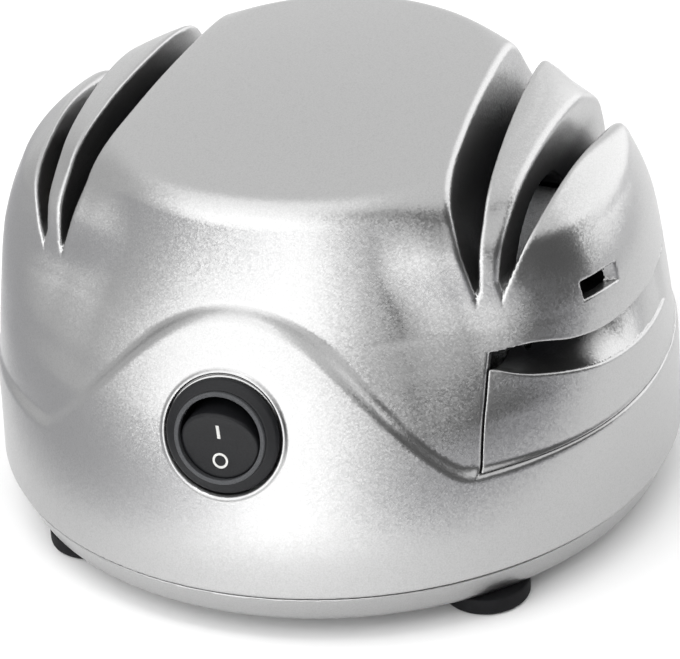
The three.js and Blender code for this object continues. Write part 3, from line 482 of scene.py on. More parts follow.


# Silver lacquer: aluminium flake in a clear binder, sprayed on ABS. Deep in the slots it
# fades into near-black plastic, painted shade that darkens with depth. It gives the eye a satin
# metal grey with a fine sparkle. The flake is drawn 0.3 mm wide, many times as coarse as it
# is, so that it shows.
silver_lacquer, tree = fresh("silver_lacquer")
where = add(tree, "ShaderNodeTexCoord")
flake = add(
    tree, "ShaderNodeTexVoronoi", [("Vector", where.outputs["Object"])], Scale=1 / (0.3 * mm),
)
tone = add(
    tree, "ShaderNodeValToRGB", [("Fac", flake.outputs["Distance"])], ((0.1, 0xB7B7B7), (0.9, 0xACACAC)),
)
cloud = add(
    tree, "ShaderNodeTexNoise", [("Vector", where.outputs["Object"])],
    Scale=1 / (6 * mm), Detail=2.0,
)
sheen = add(tree, "ShaderNodeMapRange", [("Value", cloud.outputs["Fac"])], To_Min=0.27, To_Max=0.31)
centred = add(
    tree, "ShaderNodeVectorMath", [(0, flake.outputs["Color"]), (1, (0.5, 0.5, 0.5))],
    operation="SUBTRACT",
)
lean = add(
    tree, "ShaderNodeVectorMath", [(0, centred.outputs["Vector"]), ("Scale", 0.085)],
    operation="SCALE",
)
surface = add(tree, "ShaderNodeNewGeometry")
tilt = add(
    tree, "ShaderNodeVectorMath",
    [(0, surface.outputs["Normal"]), (1, lean.outputs["Vector"])], operation="ADD",
)
tilted = add(tree, "ShaderNodeVectorMath", [(0, tilt.outputs["Vector"])], operation="NORMALIZE")
lacquer = add(
    tree, "ShaderNodeBsdfPrincipled",
    [
        ("Base Color", tone.outputs["Color"]),
        ("Roughness", sheen.outputs["Result"]),
        ("Normal", tilted.outputs["Vector"]),
    ],
    Metallic=1.0,
)
# Painted shade: a near-black plastic that the lacquer gives way to deep in the slots and hollows
painted_shade_plastic = add(
    tree, "ShaderNodeBsdfPrincipled", [("Normal", tilted.outputs["Vector"])],
    Base_Color=shade(0x1C1C1F), Roughness=0.6, Specular_IOR_Level=0.3,
)
# Each moulding's depth fade picks between the painted shade and the lacquer
shade_depth_fade = add(tree, "ShaderNodeAttribute", attribute_name="painted_shade_fade")
both = add(
    tree, "ShaderNodeMixShader",
    [("Fac", shade_depth_fade.outputs["Fac"]), (1, painted_shade_plastic.outputs["BSDF"]), (2, lacquer.outputs["BSDF"])],
)
add(tree, "ShaderNodeOutputMaterial", [("Surface", both.outputs["Shader"])])

for part in (housing, housing_slots, housing_inside):
    part.data.materials.append(silver_lacquer)
    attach(part, "case")
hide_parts("housing")


# Filings tray: a moulded drawer in the same lacquer that closes the right side under the
# shoulder. Its outer wall leans in towards the front, and the scissors blade lies on it.
tray_bottom, tray_floor, tray_wall = 21.57, 24.1, 2.2


def tray_form(x, y, z):
    solid = body(x, y, z)
    lip, rim = read(lip_curve, y)[0], read(rim_curve, y)[0]
    run = read(ramp_curve, y)[0] * (1 - ease(-10, 20, y))
    along_ramp = np.sqrt(1 + run**2)
    # The block that fills the housing's opening, less the wedge above its ramp
    tray_gap = 0.3 - 0.2 * ease(-15, 5, y)
    block = np.maximum(np.maximum(46.1 - x, tray_bottom - z), z - lip + tray_gap)
    inset = 0.55 + np.clip(z - rim, 0, None) * run - 1.5 * ease(5, 13, y)
    wedge = np.maximum(rim - z, (-solid - inset) / along_ramp)
    wedge = np.where(y < 20, wedge, 9.0)
    form = meet(solid, block, 0.35 - 0.15 * ease(-15, 5, y))
    form = meet(form, -wedge, 0.8)
    # The hollow for the filings, and a notch that clears the wheel and its nut
    room = np.maximum(solid + 2.3, tray_floor - z)
    ramp_x = np.interp(y, rim_x[0], rim_x[1]) - (z - rim) * run
    under_ramp = np.where(y < 16, (x - ramp_x) + tray_wall * along_ramp, -9.0)
    room = np.maximum(room, np.maximum(under_ramp, np.abs(y) - 34))
    notch = np.maximum(x - 50, np.abs(y) - 27)
    form = np.maximum(form, -room)
    return np.maximum(form, -notch)


def wall_reach(y_values, z_values):
    """How far out along X the upper wall stands, at each Y and height."""
    low, high = np.full(len(y_values), 30.0), np.full(len(y_values), 72.0)
    for _ in range(30):
        middle = (low + high) / 2
        inside = body(middle, y_values, z_values) < 0
        low, high = np.where(inside, middle, low), np.where(inside, high, middle)
    return low


rim_y = np.linspace(-50, 50, 101)
rim_x = (rim_y, wall_reach(rim_y, np.maximum(read(rim_curve, rim_y)[0], 24)))
raw, quads = skin(
    tray_form,
    stepped((44, 45.6, 0.4), (45.6, 47.6, 0.2), (47.6, 71, 0.5)),
    stepped((-50, -20, 0.5), (-20, 51, 0.9)), stepped((20.9, 22.9, 0.2), (22.9, 45.3, 0.4)),
)
points, normals = settle(tray_form, raw, 0.3)
# The lacquer fades into painted shade between 1.5 and 9 mm below the skin, in the scissors slot
tray_painted_shade_fade = 1 - ease(1.5, 9, -body(*points.T))
tray = moulding("tray_drawer", points, quads, normals, tray_painted_shade_fade)
tray.data.materials.append(silver_lacquer)
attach(tray, "tray")
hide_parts("filings_tray")


# Base pan: a shallow ABS tray in the same lacquer that closes the body from below. Air
# slots, the recess for a rating label and four screw wells are moulded into its underside.
screw_spots = [(-screw_x, -screw_y), (screw_x, -screw_y), (screw_x, screw_y), (-screw_x, screw_y)]
foot_spots = [(-40.3, -41.3), (43.5, -41.3), (43.5, 41.3), (-40.3, 41.3)]
pan_radius, pan_bottom, pan_floor = 69.8, -7.4, -5


def pan_form(x, y, z):
    r = np.hypot(x, y)
    # Dish with a wall that flares upward, and a lip that centres it in the housing
    form = meet((r - pan_radius - 0.46 * z) * 0.91, pan_bottom - z, 1.8)
    form = meet(form, z + 0.25, 0.5)
    lip = np.maximum(np.abs(r - 66.2) - 0.8, z - 2.2)
    room = np.maximum(r - 64.2, pan_floor - z)
    room = np.minimum(room, np.maximum(r - 65.4, -0.4 - z))
    form = np.maximum(np.minimum(form, np.maximum(lip, -3 - z)), -room)
    # Bored seats for the screws, holes for the feet, and two posts under the motor
    for a, b in screw_spots:
        away = np.hypot(x - a, y - b)
        form = np.minimum(form, np.maximum(away - 4.6, np.abs(z + 3.7) - 3.6))
        form = meet(form, -np.maximum(away - 3.3, z + 5.1), 0.4)
        form = np.maximum(form, -(away - 1.8))
    for a, b in foot_spots:
        form = np.maximum(form, -(np.hypot(x - a, y - b) - 3.3))
    for b in (-16, 29):
        form = np.minimum(form, np.maximum(np.hypot(x, y - b) - 4, np.abs(z - 1.5) - 7.3))
    # Air slots, the label's recess, and a fine groove near the pan's edge
    for step in (18, 24, 30):
        slot = np.hypot(np.abs(x) - step, np.clip(np.abs(y) - 11.7, 0, None)) - 1.3
        form = meet(form, -slot, 0.5)
    label = np.maximum(np.abs(x) - 19, np.abs(y + 35) - 8)
    form = meet(form, -np.maximum(label, z + 7), 0.4)
    groove = np.maximum(np.abs(r - 59.5) - 0.5, z + 7)
    return meet(form, -groove, 0.3)


pan_grid = [stepped((-71, 71, 0.8)), stepped((-71, 71, 0.8)), stepped((-8, 3, 0.4), (3, 9.6, 0.6))]
raw, quads = skin(pan_form, *pan_grid)
points, normals = settle(pan_form, raw, 0.3)
base_pan = moulding("base_pan_moulding", points, quads, normals, np.ones(len(points)))
base_pan.data.materials.append(silver_lacquer)
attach(base_pan, "case")
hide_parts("base_pan")


# Feet: four cups of black rubber, each pulled through a hole in the pan by its stem. The
# sole has a shallow sunk middle, so that it grips the table with its rim.
def rounded(outline, steps=5):
    """An outline of radius, height and rounding, its corners turned into short arcs."""
    made = []
    for i, (r, z, size) in enumerate(outline):
        if size == 0 or i in (0, len(outline) - 1):
            made.append((r, z))
            continue
        here = Vector((r, z))
        before, after = Vector(outline[i - 1][:2]), Vector(outline[i + 1][:2])
        back = (before - here).normalized() * min(size, (before - here).length / 2)
        on = (after - here).normalized() * min(size, (after - here).length / 2)
        for k in range(steps + 1):
            t = k / steps
            spot = here + back * (1 - t) ** 2 + on * t**2
            made.append((spot.x, spot.y))
    return made


def turned_part(name, outline, place, turns=72):
    """A solid of revolution in millimetres, with its local Z as the axis, put in its place."""
    profile = np.array(rounded(outline))
    steps = np.diff(profile, axis=0)
    lengths = np.hypot(*steps.T)
    facing = np.stack((steps[:, 1], -steps[:, 0]), 1) / lengths[:, None].clip(1e-9)
    weight = facing * lengths[:, None]
    along = np.zeros_like(profile)
    along[:-1] += weight
    along[1:] += weight
    along /= np.hypot(*along.T)[:, None].clip(1e-9)
    angle = np.arange(turns) * 2 * np.pi / turns
    ring = np.stack((np.cos(angle), np.sin(angle)), 1)
    rows = len(profile)
    points = np.zeros((rows, turns, 3))
    normals = np.zeros((rows, turns, 3))
    points[:, :, :2] = profile[:, 0, None, None] * ring
    points[:, :, 2] = profile[:, 1, None]
    normals[:, :, :2] = along[:, 0, None, None] * ring
    normals[:, :, 2] = along[:, 1, None]
    faces = []
    for low in range(0, (rows - 1) * turns, turns):
        for j in range(turns):
            k = (j + 1) % turns
            faces.append((low + j, low + k, low + turns + k, low + turns + j))
    mesh = bpy.data.meshes.new(name)
    mesh.from_pydata((points.reshape(-1, 3) * mm).tolist(), [], faces)
    mesh.polygons.foreach_set("use_smooth", np.ones(len(faces), bool))
    mesh.normals_split_custom_set_from_vertices(normals.reshape(-1, 3).tolist())
    mesh.transform(place)
    made = bpy.data.objects.new(name, mesh)
    bpy.context.scene.collection.objects.link(made)
    return made


def at(x, y, z):
    return Matrix.Translation(Vector((x, y, z)) * mm)


# Black rubber: moulded and left matt, with a faint greyish bloom and fine pits that keep
# it from shining.
black_rubber, tree = fresh("black_rubber")
where = add(tree, "ShaderNodeTexCoord")
bloom = add(
    tree, "ShaderNodeTexNoise", [("Vector", where.outputs["Object"])], Scale=1 / (2.5 * mm), Detail=5.0,
)
tone = add(tree, "ShaderNodeValToRGB", [("Fac", bloom.outputs["Fac"])], ((0, 0x0A0A0B), (1, 0x17171A)))
pits = add(
    tree, "ShaderNodeTexVoronoi", [("Vector", where.outputs["Object"])], Scale=1 / (0.35 * mm),
)
tilt = add(
    tree, "ShaderNodeBump", [("Height", pits.outputs["Distance"])], Strength=0.4, Distance=0.04 * mm,
)
rubber = add(
    tree, "ShaderNodeBsdfPrincipled",
    [("Base Color", tone.outputs["Color"]), ("Normal", tilt.outputs["Normal"])],
    Roughness=0.75, Specular_IOR_Level=0.2,
)
add(tree, "ShaderNodeOutputMaterial", [("Surface", rubber.outputs["BSDF"])])

# Sole, cup, neck in the pan's hole, and barb, as radius, height and rounding
foot_outline = [
    (0.01, 0.5, 0), (5.6, 0.5, 0.3), (6, 0, 0.2), (8.8, 0, 1.4), (8.8, 3.8, 0.5), (3, 3.8, 0.2),
    (3, 6.2, 0.2), (4.2, 6.2, 0.4), (3, 7.8, 0.6), (0.01, 7.8, 0),
]
for i, (x, y) in enumerate(foot_spots):
    foot = turned_part(f"rubber_foot_{i + 1}", foot_outline, at(x, y, 0))
    foot.data.materials.append(black_rubber)
    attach(foot, "case")
    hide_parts(f"foot_{i + 1}")


# Case screws: four zinc-plated self-tapping screws with cross recesses, driven up through
# the pan into the housing's bosses.
head_radius, core_radius, thread_height, thread_pitch, screw_length = 3, 1.15, 0.35, 1.3, 21
cross_half, cross_reach = 0.45, 1.9


def screw_form(x, y, z):
    r, turn = np.hypot(x, y), np.arctan2(y, x)
    head = meet(r - head_radius, np.abs(z - 1) - 1, 0.5)
    wave = np.abs(((z / thread_pitch - turn / (2 * np.pi)) % 1) * 2 - 1)
    shank = np.maximum(r - core_radius - thread_height * wave**2, z - screw_length + 0.8 * r)
    form = np.minimum(head, np.maximum(shank * 0.8, -z))
    ax, ay = np.abs(x), np.abs(y)
    cross = np.maximum(np.minimum(ax, ay) - cross_half, np.maximum(ax, ay) - cross_reach)
    return meet(form, -np.maximum(cross, z - 1.2), 0.15)


def metal(name, code, roughness, streak, depth, along=(1, 1, 1)):
    """Plain metal with fine drawn marks that run along the axis with the lowest scale."""
    material, tree = fresh(name)
    where = add(tree, "ShaderNodeTexCoord")
    run = add(tree, "ShaderNodeMapping", [("Vector", where.outputs["Object"])], Scale=along)
    marks = add(
        tree, "ShaderNodeTexNoise", [("Vector", run.outputs["Vector"])],
        Scale=1 / (streak * mm), Detail=4.0, Roughness=0.6,
    )
    gloss = add(
        tree, "ShaderNodeMapRange", [("Value", marks.outputs["Fac"])],
        To_Min=roughness - 0.06, To_Max=roughness + 0.08,
    )
    tilt = add(
        tree, "ShaderNodeBump", [("Height", marks.outputs["Fac"])], Strength=0.5, Distance=depth * mm,
    )
    bulk = add(
        tree, "ShaderNodeBsdfPrincipled",
        [("Roughness", gloss.outputs["Result"]), ("Normal", tilt.outputs["Normal"])],
        Base_Color=shade(code), Metallic=1.0,
    )
    add(tree, "ShaderNodeOutputMaterial", [("Surface", bulk.outputs["BSDF"])])
    return material


# Zinc-plated steel: a pale, slightly cloudy grey metal, half bright
plated_steel = metal("zinc_plated_steel", 0xA9ACAE, 0.32, 0.3, 0.01)
screw_wide, screw_high = stepped((-3.3, 3.3, 0.16)), stepped((-0.3, 21.6, 0.17))
raw, quads = skin(screw_form, screw_wide, screw_wide, screw_high)
points, normals = settle(screw_form, raw, 0.1)
head_above_table = 4.1
points[:, 2] -= seam - head_above_table
for i, (x, y) in enumerate(screw_spots):
    screw = moulding(f"screw_{i + 1}", points + np.array([x, y, 0]), quads, normals)
    screw.data.materials.append(plated_steel)
    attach(screw, "case")
    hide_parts(f"case_screw_{i + 1}")


# Seat rim: the part of the housing's front wall round the switch. It is a fine ring of its
# own, so that the moulded bead at the edge of the seat stays crisp; it lies on the wall.
rim_reach = (16, 15, 14, 13.4, 13.1, 12.9, 12.75, 12.6, 12.45, 12.3, 12.15, 12, 11.88, 11.8, 11.76, 11.75)
rim_start, rim_turn, rim_edge, bead_height = 13.1, 12.3, 11.75, 0.4


def seat_rim():
    """Rings of points from the wall over the bead and down into the seat."""
    lean = Matrix.Rotation(math.pi / 2 - switch_lean, 3, "X")
    middle = np.array([switch_x, switch_y, switch_z])
    u_axis, v_axis, w_axis = (np.array(axis) for axis in lean.col)
    angle = np.linspace(0, 2 * np.pi, 145)[:-1]

    def wall_at(r):
        flat = middle + r * (np.outer(np.cos(angle), u_axis) + np.outer(np.sin(angle), v_axis))
        height = np.zeros(len(angle))
        for _ in range(12):
            height -= body(*(flat + height[:, None] * w_axis).T)
        return flat, height

    rows = []
    for r in rim_reach:
        flat, height = wall_at(r)
        t = np.clip((rim_start - r) / 1.35, 0, 1)
        bead = bead_height * np.sin(np.pi * min(t * 1.15, 1)) if r < rim_start else 0.02
        if r > rim_edge:
            fall = 0.55 * (1 - math.sqrt(max(0, 1 - max(0, (rim_turn - r) / 0.55) ** 2)))
            rows.append(flat + (height + bead - fall)[:, None] * w_axis)
        else:
            rows.append(flat + np.minimum(height - 0.6, -0.1)[:, None] * w_axis)
    for r, low in ((rim_edge, -0.4), (10.3, -0.4), (10.3, -2.4)):
        rows.append(wall_at(r)[0] + low * w_axis)
    points = np.concatenate(rows)
    n = len(angle)
    quads = np.array([
        (i * n + j, (i + 1) * n + j, (i + 1) * n + (j + 1) % n, i * n + (j + 1) % n)
        for i in range(len(rows) - 1) for j in range(n)
    ])
    a, b, c, d = (points[quads[:, k]] for k in range(4))
    facing = np.cross(c - a, d - b)
    normals = np.zeros_like(points)
    for k in range(4):
        np.add.at(normals, quads[:, k], facing)
    outward = steepest(body, points[: 3 * n], 0.1)
    normals[: 3 * n] = outward
    if (facing[:n] @ w_axis).mean() < 0:
        normals[3 * n :] *= -1
        quads = quads[:, ::-1]
    return points, quads, normals / np.linalg.norm(normals, axis=1)[:, None].clip(1e-9)


rim_points, rim_quads, rim_normals = seat_rim()
rim = moulding("switch_seat_rim", rim_points, rim_quads, rim_normals, np.ones(len(rim_points)))
rim.data.materials.append(silver_lacquer)
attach(rim, "case")


# Switch: a round snap-in rocker switch of black nylon. Its bezel lies in the recess of the
# front wall, with a raised ring round the well in which the rocker tips.
switch_tilt = Matrix.Rotation(math.pi / 2 - switch_lean, 4, "X")
switch_seat = at(switch_x, switch_y, switch_z + seam) @ switch_tilt


def satin_nylon(name, dark, light, roughness, grain, depth):
    """Satin nylon that took the fine spark-eroded grain of its mould."""
    material, tree = fresh(name)
    where = add(tree, "ShaderNodeTexCoord")
    cells = add(
        tree, "ShaderNodeTexNoise", [("Vector", where.outputs["Object"])],
        Scale=1 / (grain * mm), Detail=3.0, Roughness=0.6,
    )
    tone = add(
        tree, "ShaderNodeValToRGB", [("Fac", cells.outputs["Fac"])], ((0.35, dark), (0.7, light)),
    )
    tilt = add(
        tree, "ShaderNodeBump", [("Height", cells.outputs["Fac"])], Strength=0.6, Distance=depth * mm,
    )
    bulk = add(
        tree, "ShaderNodeBsdfPrincipled",
        [("Base Color", tone.outputs["Color"]), ("Normal", tilt.outputs["Normal"])],
        Roughness=roughness, Specular_IOR_Level=0.2,
    )
    add(tree, "ShaderNodeOutputMaterial", [("Surface", bulk.outputs["BSDF"])])
    return material


# The grain softens the switch's highlights. Its raised ring is drawn a shade greyer than the
# rest: a painted highlight on its top, which catches the light.
switch_black = satin_nylon("black_nylon", 0x121214, 0x1B1C1E, 0.36, 0.3, 0.012)
painted_highlight_grey = satin_nylon("painted_highlight_nylon", 0x3C3D3F, 0x4A4B4D, 0.4, 0.3, 0.01)
bezel_outline = [
    (0.01, -16, 0), (10, -16, 0.8), (10, 0, 0), (11.6, 0, 0.2), (11.6, 1.1, 0.8), (9.6, 2, 0.25),
    (8.4, 2, 0.1), (8.4, -6.6, 0.4), (0.01, -6.6, 0),
]
ring_outline = [
    (8.35, 1.5, 0.1), (9.3, 1.5, 0.1), (9.3, 2.8, 0.35), (8.35, 2.8, 0.25), (8.35, 1.5, 0.1),
]
for name, outline, look in (
    ("switch_bezel", bezel_outline, switch_black), ("switch_ring", ring_outline, painted_highlight_grey),
):
    piece = turned_part(name, outline, switch_seat, 96)
    piece.data.materials.append(look)
    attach(piece, "case")
    if name == "switch_bezel":
        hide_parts("switch_body")


# Rocker: a black nylon button with a dished face, which tips on two pins in the well. Its
# on and off marks are moulded in white through the face.
rocker_half_width, rocker_half_length, dish_depth, face_middle = 8.05, 7.3, 1.2, 5.5
dish_radius = (rocker_half_length**2 + dish_depth**2) / (2 * dish_depth)


def face_height(v):
    """Height of the dished face over the pivot, at a place up or down the rocker."""
    return face_middle + dish_radius - np.sqrt(dish_radius**2 - v * v)


def rocker_form(u, v, w):
    plan = (np.hypot(u / rocker_half_width, v / rocker_half_length) - 1) * 7.6
    form = meet(plan, w - face_height(np.clip(v, -12, 12)), 0.9)
    return meet(form, -1 - w, 0.5)


def marks_form(u, v, w):
    """A bar above and a ring below, which stand out of the face by a hair."""
    bar = np.maximum(np.abs(u) - 0.33, np.abs(v - 3) - 1.6)
    ring = np.abs(np.hypot(u, v + 3.4) - 1.36) - 0.24
    return np.maximum(np.minimum(bar, ring), np.abs(w - face_height(v)) - 0.05)


pivot_depth, off_angle = 3, math.radians(14)
rocker_seat = switch_seat @ at(0, 0, -pivot_depth) @ Matrix.Rotation(off_angle, 4, "X")
white_mark = satin_nylon("white_nylon_mark", 0xBDBDBB, 0xCDCDCA, 0.45, 0.3, 0.006)
for name, form, pitch, wide, reach, height, look, slot in (
    ("rocker_button", rocker_form, 0.27, 8.6, 8.6, (-1.6, 7.4, 0.27), switch_black, "black_plastic"),
    ("rocker_marks", marks_form, 0.09, 2, 5.6, (5.2, 6.4, 0.04), white_mark, "nylon"),
):
    grid = [stepped((-wide, wide, pitch)), stepped((-reach, reach, pitch)), stepped(height)]
    raw, quads = skin(form, *grid)
    points, normals = settle(form, raw, pitch / 2)
    points[:, 2] -= seam
    piece = moulding(name, points, quads, normals)
    piece.data.transform(rocker_seat)
    piece.data.materials.append(look)
    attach(piece, "rocker")
    if name == "rocker_button":
        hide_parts("switch_rocker")


def dress(material, *names):
    """Gives CAD nodes that keep their own mesh a finer material."""
    for name in names:
        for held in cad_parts[name].material_slots:
            held.material = material


# Switch terminals: two flat blades stamped from rolled brass, which leaves them a soft
# yellow gleam with fine lengthwise marks. They are pressed into the back of the switch.
rolled_brass = metal("rolled_brass", 0xC3A45A, 0.28, 0.25, 0.008, (1, 1, 0.1))
dress(rolled_brass, "switch_terminal_1", "switch_terminal_2")


# Cord inlet: a grooved bush of black rubber in the back wall. Its flanges hold the wall
# between them, and its bore is left free for a supply cord.
inlet_outline = [
    (3.2, -3.7, 0.3), (7, -3.7, 0.5), (7, -2.2, 0.3), (5.2, -2.2, 0.2), (5.2, 0, 0.2), (7, 0, 0.3),
    (7, 1, 0.9), (5.4, 1.2, 0.3), (5.2, 1.8, 0.3), (3.9, 1.8, 0.5), (3.2, 1.2, 0.3), (3.2, -3.7, 0.3),
]
inlet_seat = at(0, 68.05, seam + inlet_height) @ Matrix.Rotation(-math.pi / 2, 4, "X")
inlet = turned_part("inlet_bush", inlet_outline, inlet_seat)
inlet.data.materials.append(black_rubber)
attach(inlet, "case")
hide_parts("cord_gland")

# Terminal block, bobbin and fan: injection mouldings of natural nylon, which looks milky and
# faintly mottled. The block stands on the pan, and the fan is pressed on to the shaft.
natural_nylon, tree = fresh("natural_nylon")
where = add(tree, "ShaderNodeTexCoord")
haze = add(
    tree, "ShaderNodeTexNoise", [("Vector", where.outputs["Object"])], Scale=1 / (3 * mm), Detail=4.0,
)
tone = add(tree, "ShaderNodeValToRGB", [("Fac", haze.outputs["Fac"])], ((0, 0xD8D2C2), (1, 0xECE8DE)))
bulk = add(
    tree, "ShaderNodeBsdfPrincipled", [("Base Color", tone.outputs["Color"])],
    Roughness=0.42, Subsurface_Weight=0.15, Subsurface_Scale=1 * mm,
)
add(tree, "ShaderNodeOutputMaterial", [("Surface", bulk.outputs["BSDF"])])
dress(natural_nylon, "terminal_block", "motor_bobbin", "cooling_fan")

# Winding: enamelled copper wire of 0.4 mm, wound in level layers round the bobbin. Its
# varnish gives a warm, wet gleam. The turns are drawn 0.66 mm apart, so that they show; a
# wave repeats every 0.314 of its scale.
copper_winding, tree = fresh("enamelled_copper_winding")
where = add(tree, "ShaderNodeTexCoord")
turns = add(
    tree, "ShaderNodeTexWave", [("Vector", where.outputs["Object"])],
    bands_direction="Z", Scale=1 / (2.1 * mm), Distortion=0.4, Detail=1.0,
)
tone = add(tree, "ShaderNodeValToRGB", [("Fac", turns.outputs["Fac"])], ((0, 0x5A2612), (1, 0xB8683A)))
tilt = add(tree, "ShaderNodeBump", [("Height", turns.outputs["Fac"])], Strength=0.9, Distance=0.2 * mm)
bulk = add(
    tree, "ShaderNodeBsdfPrincipled",
    [("Base Color", tone.outputs["Color"]), ("Normal", tilt.outputs["Normal"])],
    Metallic=0.9, Roughness=0.3, Coat_Weight=0.5,
)
add(tree, "ShaderNodeOutputMaterial", [("Surface", bulk.outputs["BSDF"])])
dress(copper_winding, "motor_coil")

# Stator: half-millimetre sheets of electrical steel, stamped, stacked along the shaft and
# dulled by their blue-grey oxide. The rotor's core is stacked in the same way. The sheets
# are drawn 1 mm thick, so that they show.
laminations, tree = fresh("steel_laminations")
where = add(tree, "ShaderNodeTexCoord")
sheets = add(
    tree, "ShaderNodeTexWave", [("Vector", where.outputs["Object"])],
    bands_direction="X", Scale=1 / (3.2 * mm), Distortion=0.1,
)
tone = add(tree, "ShaderNodeValToRGB", [("Fac", sheets.outputs["Fac"])], ((0, 0x55585D), (1, 0x8C9095)))
tilt = add(tree, "ShaderNodeBump", [("Height", sheets.outputs["Fac"])], Strength=0.7, Distance=0.1 * mm)
bulk = add(
    tree, "ShaderNodeBsdfPrincipled",
    [("Base Color", tone.outputs["Color"]), ("Normal", tilt.outputs["Normal"])],
    Metallic=0.9, Roughness=0.42,
)
add(tree, "ShaderNodeOutputMaterial", [("Surface", bulk.outputs["BSDF"])])
dress(laminations, "motor_stator", "motor_rotor")

# Brackets, bolts, nuts and shaft: zinc-plated stampings bolted through the stator, and a
# shaft of turned steel, bright with fine rings round it, which carries all that spins.
turned_steel = metal("turned_steel", 0xB4B6B8, 0.24, 0.2, 0.008, (0.12, 1, 1))
dress(
    plated_steel, "bearing_bracket_1", "bearing_bracket_2", "motor_bolt_1", "motor_bolt_2",
    "motor_nut_1", "motor_nut_2",
)
dress(turned_steel, "motor_shaft")

# Bearings: bushes of sintered bronze soaked in oil, which look dull brown and finely
# grained. They are pressed into the brackets.
sintered_bronze = metal("sintered_bronze", 0xB08A4A, 0.42, 0.12, 0.02)
dress(sintered_bronze, "bearing_1", "bearing_2")


# Grinding wheels: vitrified abrasive, coarse brown at the left and fine grey at the right.
# Each is clamped on the shaft between a turned steel flange and a nut.
def abrasive(name, grain, dark, light, depth):
    """Grains in a glassy bond: a dry, rough surface that breaks the light up."""
    material, tree = fresh(name)
    where = add(tree, "ShaderNodeTexCoord")
    grit = add(
        tree, "ShaderNodeTexVoronoi", [("Vector", where.outputs["Object"])], Scale=1 / (grain * mm),
    )
    bond = add(
        tree, "ShaderNodeTexNoise", [("Vector", where.outputs["Object"])],
        Scale=1 / (grain * 4 * mm), Detail=6.0, Roughness=0.7,
    )
    tone = add(
        tree, "ShaderNodeValToRGB", [("Fac", bond.outputs["Fac"])], ((0.3, dark), (0.75, light)),
    )
    tilt = add(
        tree, "ShaderNodeBump", [("Height", grit.outputs["Distance"])],
        Strength=1.0, Distance=depth * mm,
    )
    bulk = add(
        tree, "ShaderNodeBsdfPrincipled",
        [("Base Color", tone.outputs["Color"]), ("Normal", tilt.outputs["Normal"])],
        Roughness=0.85,
    )
    add(tree, "ShaderNodeOutputMaterial", [("Surface", bulk.outputs["BSDF"])])
    return material


coarse_stone = abrasive("coarse_vitrified_grit", 0.55, 0x4E443B, 0x85776A, 0.25)
fine_stone = abrasive("fine_vitrified_grit", 0.28, 0x98999A, 0xBDBEC0, 0.1)
wheel_outline = [
    (3.05, -4.2, 0), (9, -4.2, 0), (23.2, -4.2, 0.4), (24, -3.4, 0.4), (24, 3.4, 0.4),
    (23.2, 4.2, 0.4), (6, 4.2, 0), (3.05, 4.2, 0), (3.05, -4.2, 0),
]
flange_outline = [
    (3.05, -7.2, 0.2), (6.2, -7.2, 0.4), (9, -5.4, 0.4), (9, -4.2, 0.2), (3.05, -4.2, 0), (3.05, -7.2, 0),
]
for hand, grit, stone in ((-1, "coarse", coarse_stone), (1, "fine", fine_stone)):
    hub = at(hand * wheel_middle, 0, seam + shaft_height) @ Matrix.Rotation(hand * math.pi / 2, 4, "Y")
    for name, outline, look, slot in (
        (f"{grit}_wheel", wheel_outline, stone, f"{grit}_grit"),
        (f"{grit}_wheel_flange", flange_outline, turned_steel, "steel"),
    ):
        piece = turned_part(name + "_turned", outline, hub, 96)
        piece.data.materials.append(look)
        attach(piece, "spindle")
        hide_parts(name)
dress(plated_steel, "coarse_wheel_nut", "fine_wheel_nut")

# Screwdriver guide: a sleeve of the same black nylon as the switch, moulded and pushed in
# behind the slot in the right shoulder. It holds the blade of a screwdriver to the wheel.
dress(switch_black, "screwdriver_guide")


# Floor: a matt white paper sheet under the object. Painted shade turns it grey towards both
# sides, and in one patch at the right front, which the lower body mirrors. It keeps the soft
# shadow.
sheet = bpy.data.meshes.new("studio_sheet")
sheet.from_pydata([(-0.5, -0.5, 0), (0.5, -0.5, 0), (0.5, 0.5, 0), (-0.5, 0.5, 0)], [], [(0, 1, 2, 3)])
floor = bpy.data.objects.new("studio_sheet", sheet)
bpy.context.scene.collection.objects.link(floor)
sheet_with_painted_shade, tree = fresh("sheet_with_painted_shade")
where = add(tree, "ShaderNodeTexCoord")
sideways = add(
    tree, "ShaderNodeVectorMath", [(0, where.outputs["Object"]), (1, side)], operation="DOT_PRODUCT",
)
# Painted shade: the sheet greys towards both sides
painted_shade_border = add(
    tree, "ShaderNodeMapRange", [("Value", sideways.outputs["Value"])], From_Min=-0.25, From_Max=0.35,
)
tone = add(
    tree, "ShaderNodeValToRGB", [("Fac", painted_shade_border.outputs["Result"])],
    ((0.18, 0xB4B4B6), (0.3, 0xF6F6F6), (0.8, 0xF6F6F6), (0.92, 0xBABABC)),
)
tone.color_ramp.interpolation = "EASE"
# Painted shade: a grey patch at the right front
away = add(
    tree, "ShaderNodeVectorMath", [(0, where.outputs["Object"]), (1, (0.26, -0.17, 0))],
    operation="DISTANCE",
)
painted_shade_patch = add(
    tree, "ShaderNodeMapRange", [("Value", away.outputs["Value"])],
    interpolation_type="SMOOTHSTEP", From_Min=0.1, From_Max=0.2,
)
shown = add(
    tree, "ShaderNodeMix",
    [(0, painted_shade_patch.outputs["Result"]), (6, shade(0xA2A2A6)), (7, tone.outputs["Color"])], data_type="RGBA",
)
matt = add(tree, "ShaderNodeBsdfDiffuse", [("Color", shown.outputs[2])])
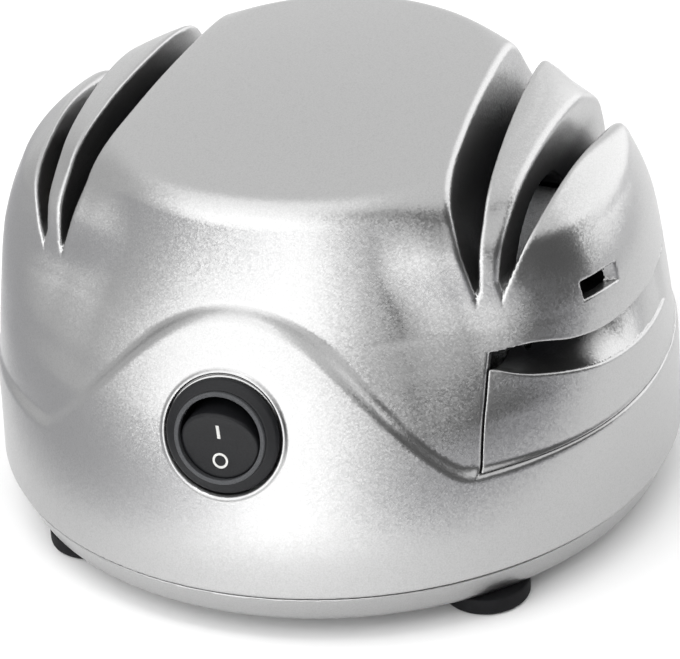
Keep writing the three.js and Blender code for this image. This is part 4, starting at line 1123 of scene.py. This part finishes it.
add(tree, "ShaderNodeOutputMaterial", [("Surface", matt.outputs["BSDF"])])
sheet.materials.append(sheet_with_painted_shade)

# Studio: a pale room with soft lights and one dark corner. Each is a spot on the sky, given
# by its angle from the front to the right, its angle up, where it is full and where it ends,
# and its strength.
scene = bpy.context.scene
world = bpy.data.worlds.new("pale_room")
scene.world = world
world.use_nodes = True
tree = world.node_tree
tree.nodes.clear()
where = add(tree, "ShaderNodeTexCoord")
room = add(tree, "ShaderNodeValue")
room.outputs[0].default_value = 1.1
glow = room.outputs[0]
for angle, up, full, end, strength in (
    (-100, 0, 15, 46, 0.75),
    (-40, 66, 12, 40, 1.9),
    (-20, 26, 24, 48, 2.15),
    (-11, -2, 22, 44, 2.5),
    (140, 4, 26, 46, 2.0),
    (80, 2, 32, 43, 0.1),
    (40, 32, 3, 15, 0.6),
):
    angle, up = math.radians(angle), math.radians(up)
    aim = (math.sin(angle) * math.cos(up), -math.cos(angle) * math.cos(up), math.sin(up))
    facing = add(
        tree, "ShaderNodeVectorMath", [(0, where.outputs["Generated"]), (1, aim)],
        operation="DOT_PRODUCT",
    )
    spot = add(
        tree, "ShaderNodeMapRange", [("Value", facing.outputs["Value"])],
        interpolation_type="SMOOTHSTEP",
        From_Min=math.cos(math.radians(end)), From_Max=math.cos(math.radians(full)),
    )
    mixed = add(tree, "ShaderNodeMix", [(0, spot.outputs["Result"]), (2, glow), (3, strength)])
    glow = mixed.outputs[0]
light = add(tree, "ShaderNodeBackground", [("Strength", glow)], Color=shade(0xFFFFFF))
add(tree, "ShaderNodeOutputWorld", [("Surface", light.outputs["Background"])])

# Floor lamp: a narrow panel above the sheet in front of the object, which brightens the
# sheet there. Its light is held to a narrow spread.
panel = bpy.data.lights.new("front_panel", "AREA")
panel.shape = "RECTANGLE"
panel.size, panel.size_y = 0.14, 0.25
panel.energy = 0.32
panel.spread = math.radians(40)
panel_object = bpy.data.objects.new("front_panel", panel)
bpy.context.scene.collection.objects.link(panel_object)
panel_object.location = (-0.01, -0.27, 0.35)

scene.view_settings.view_transform = "Standard"
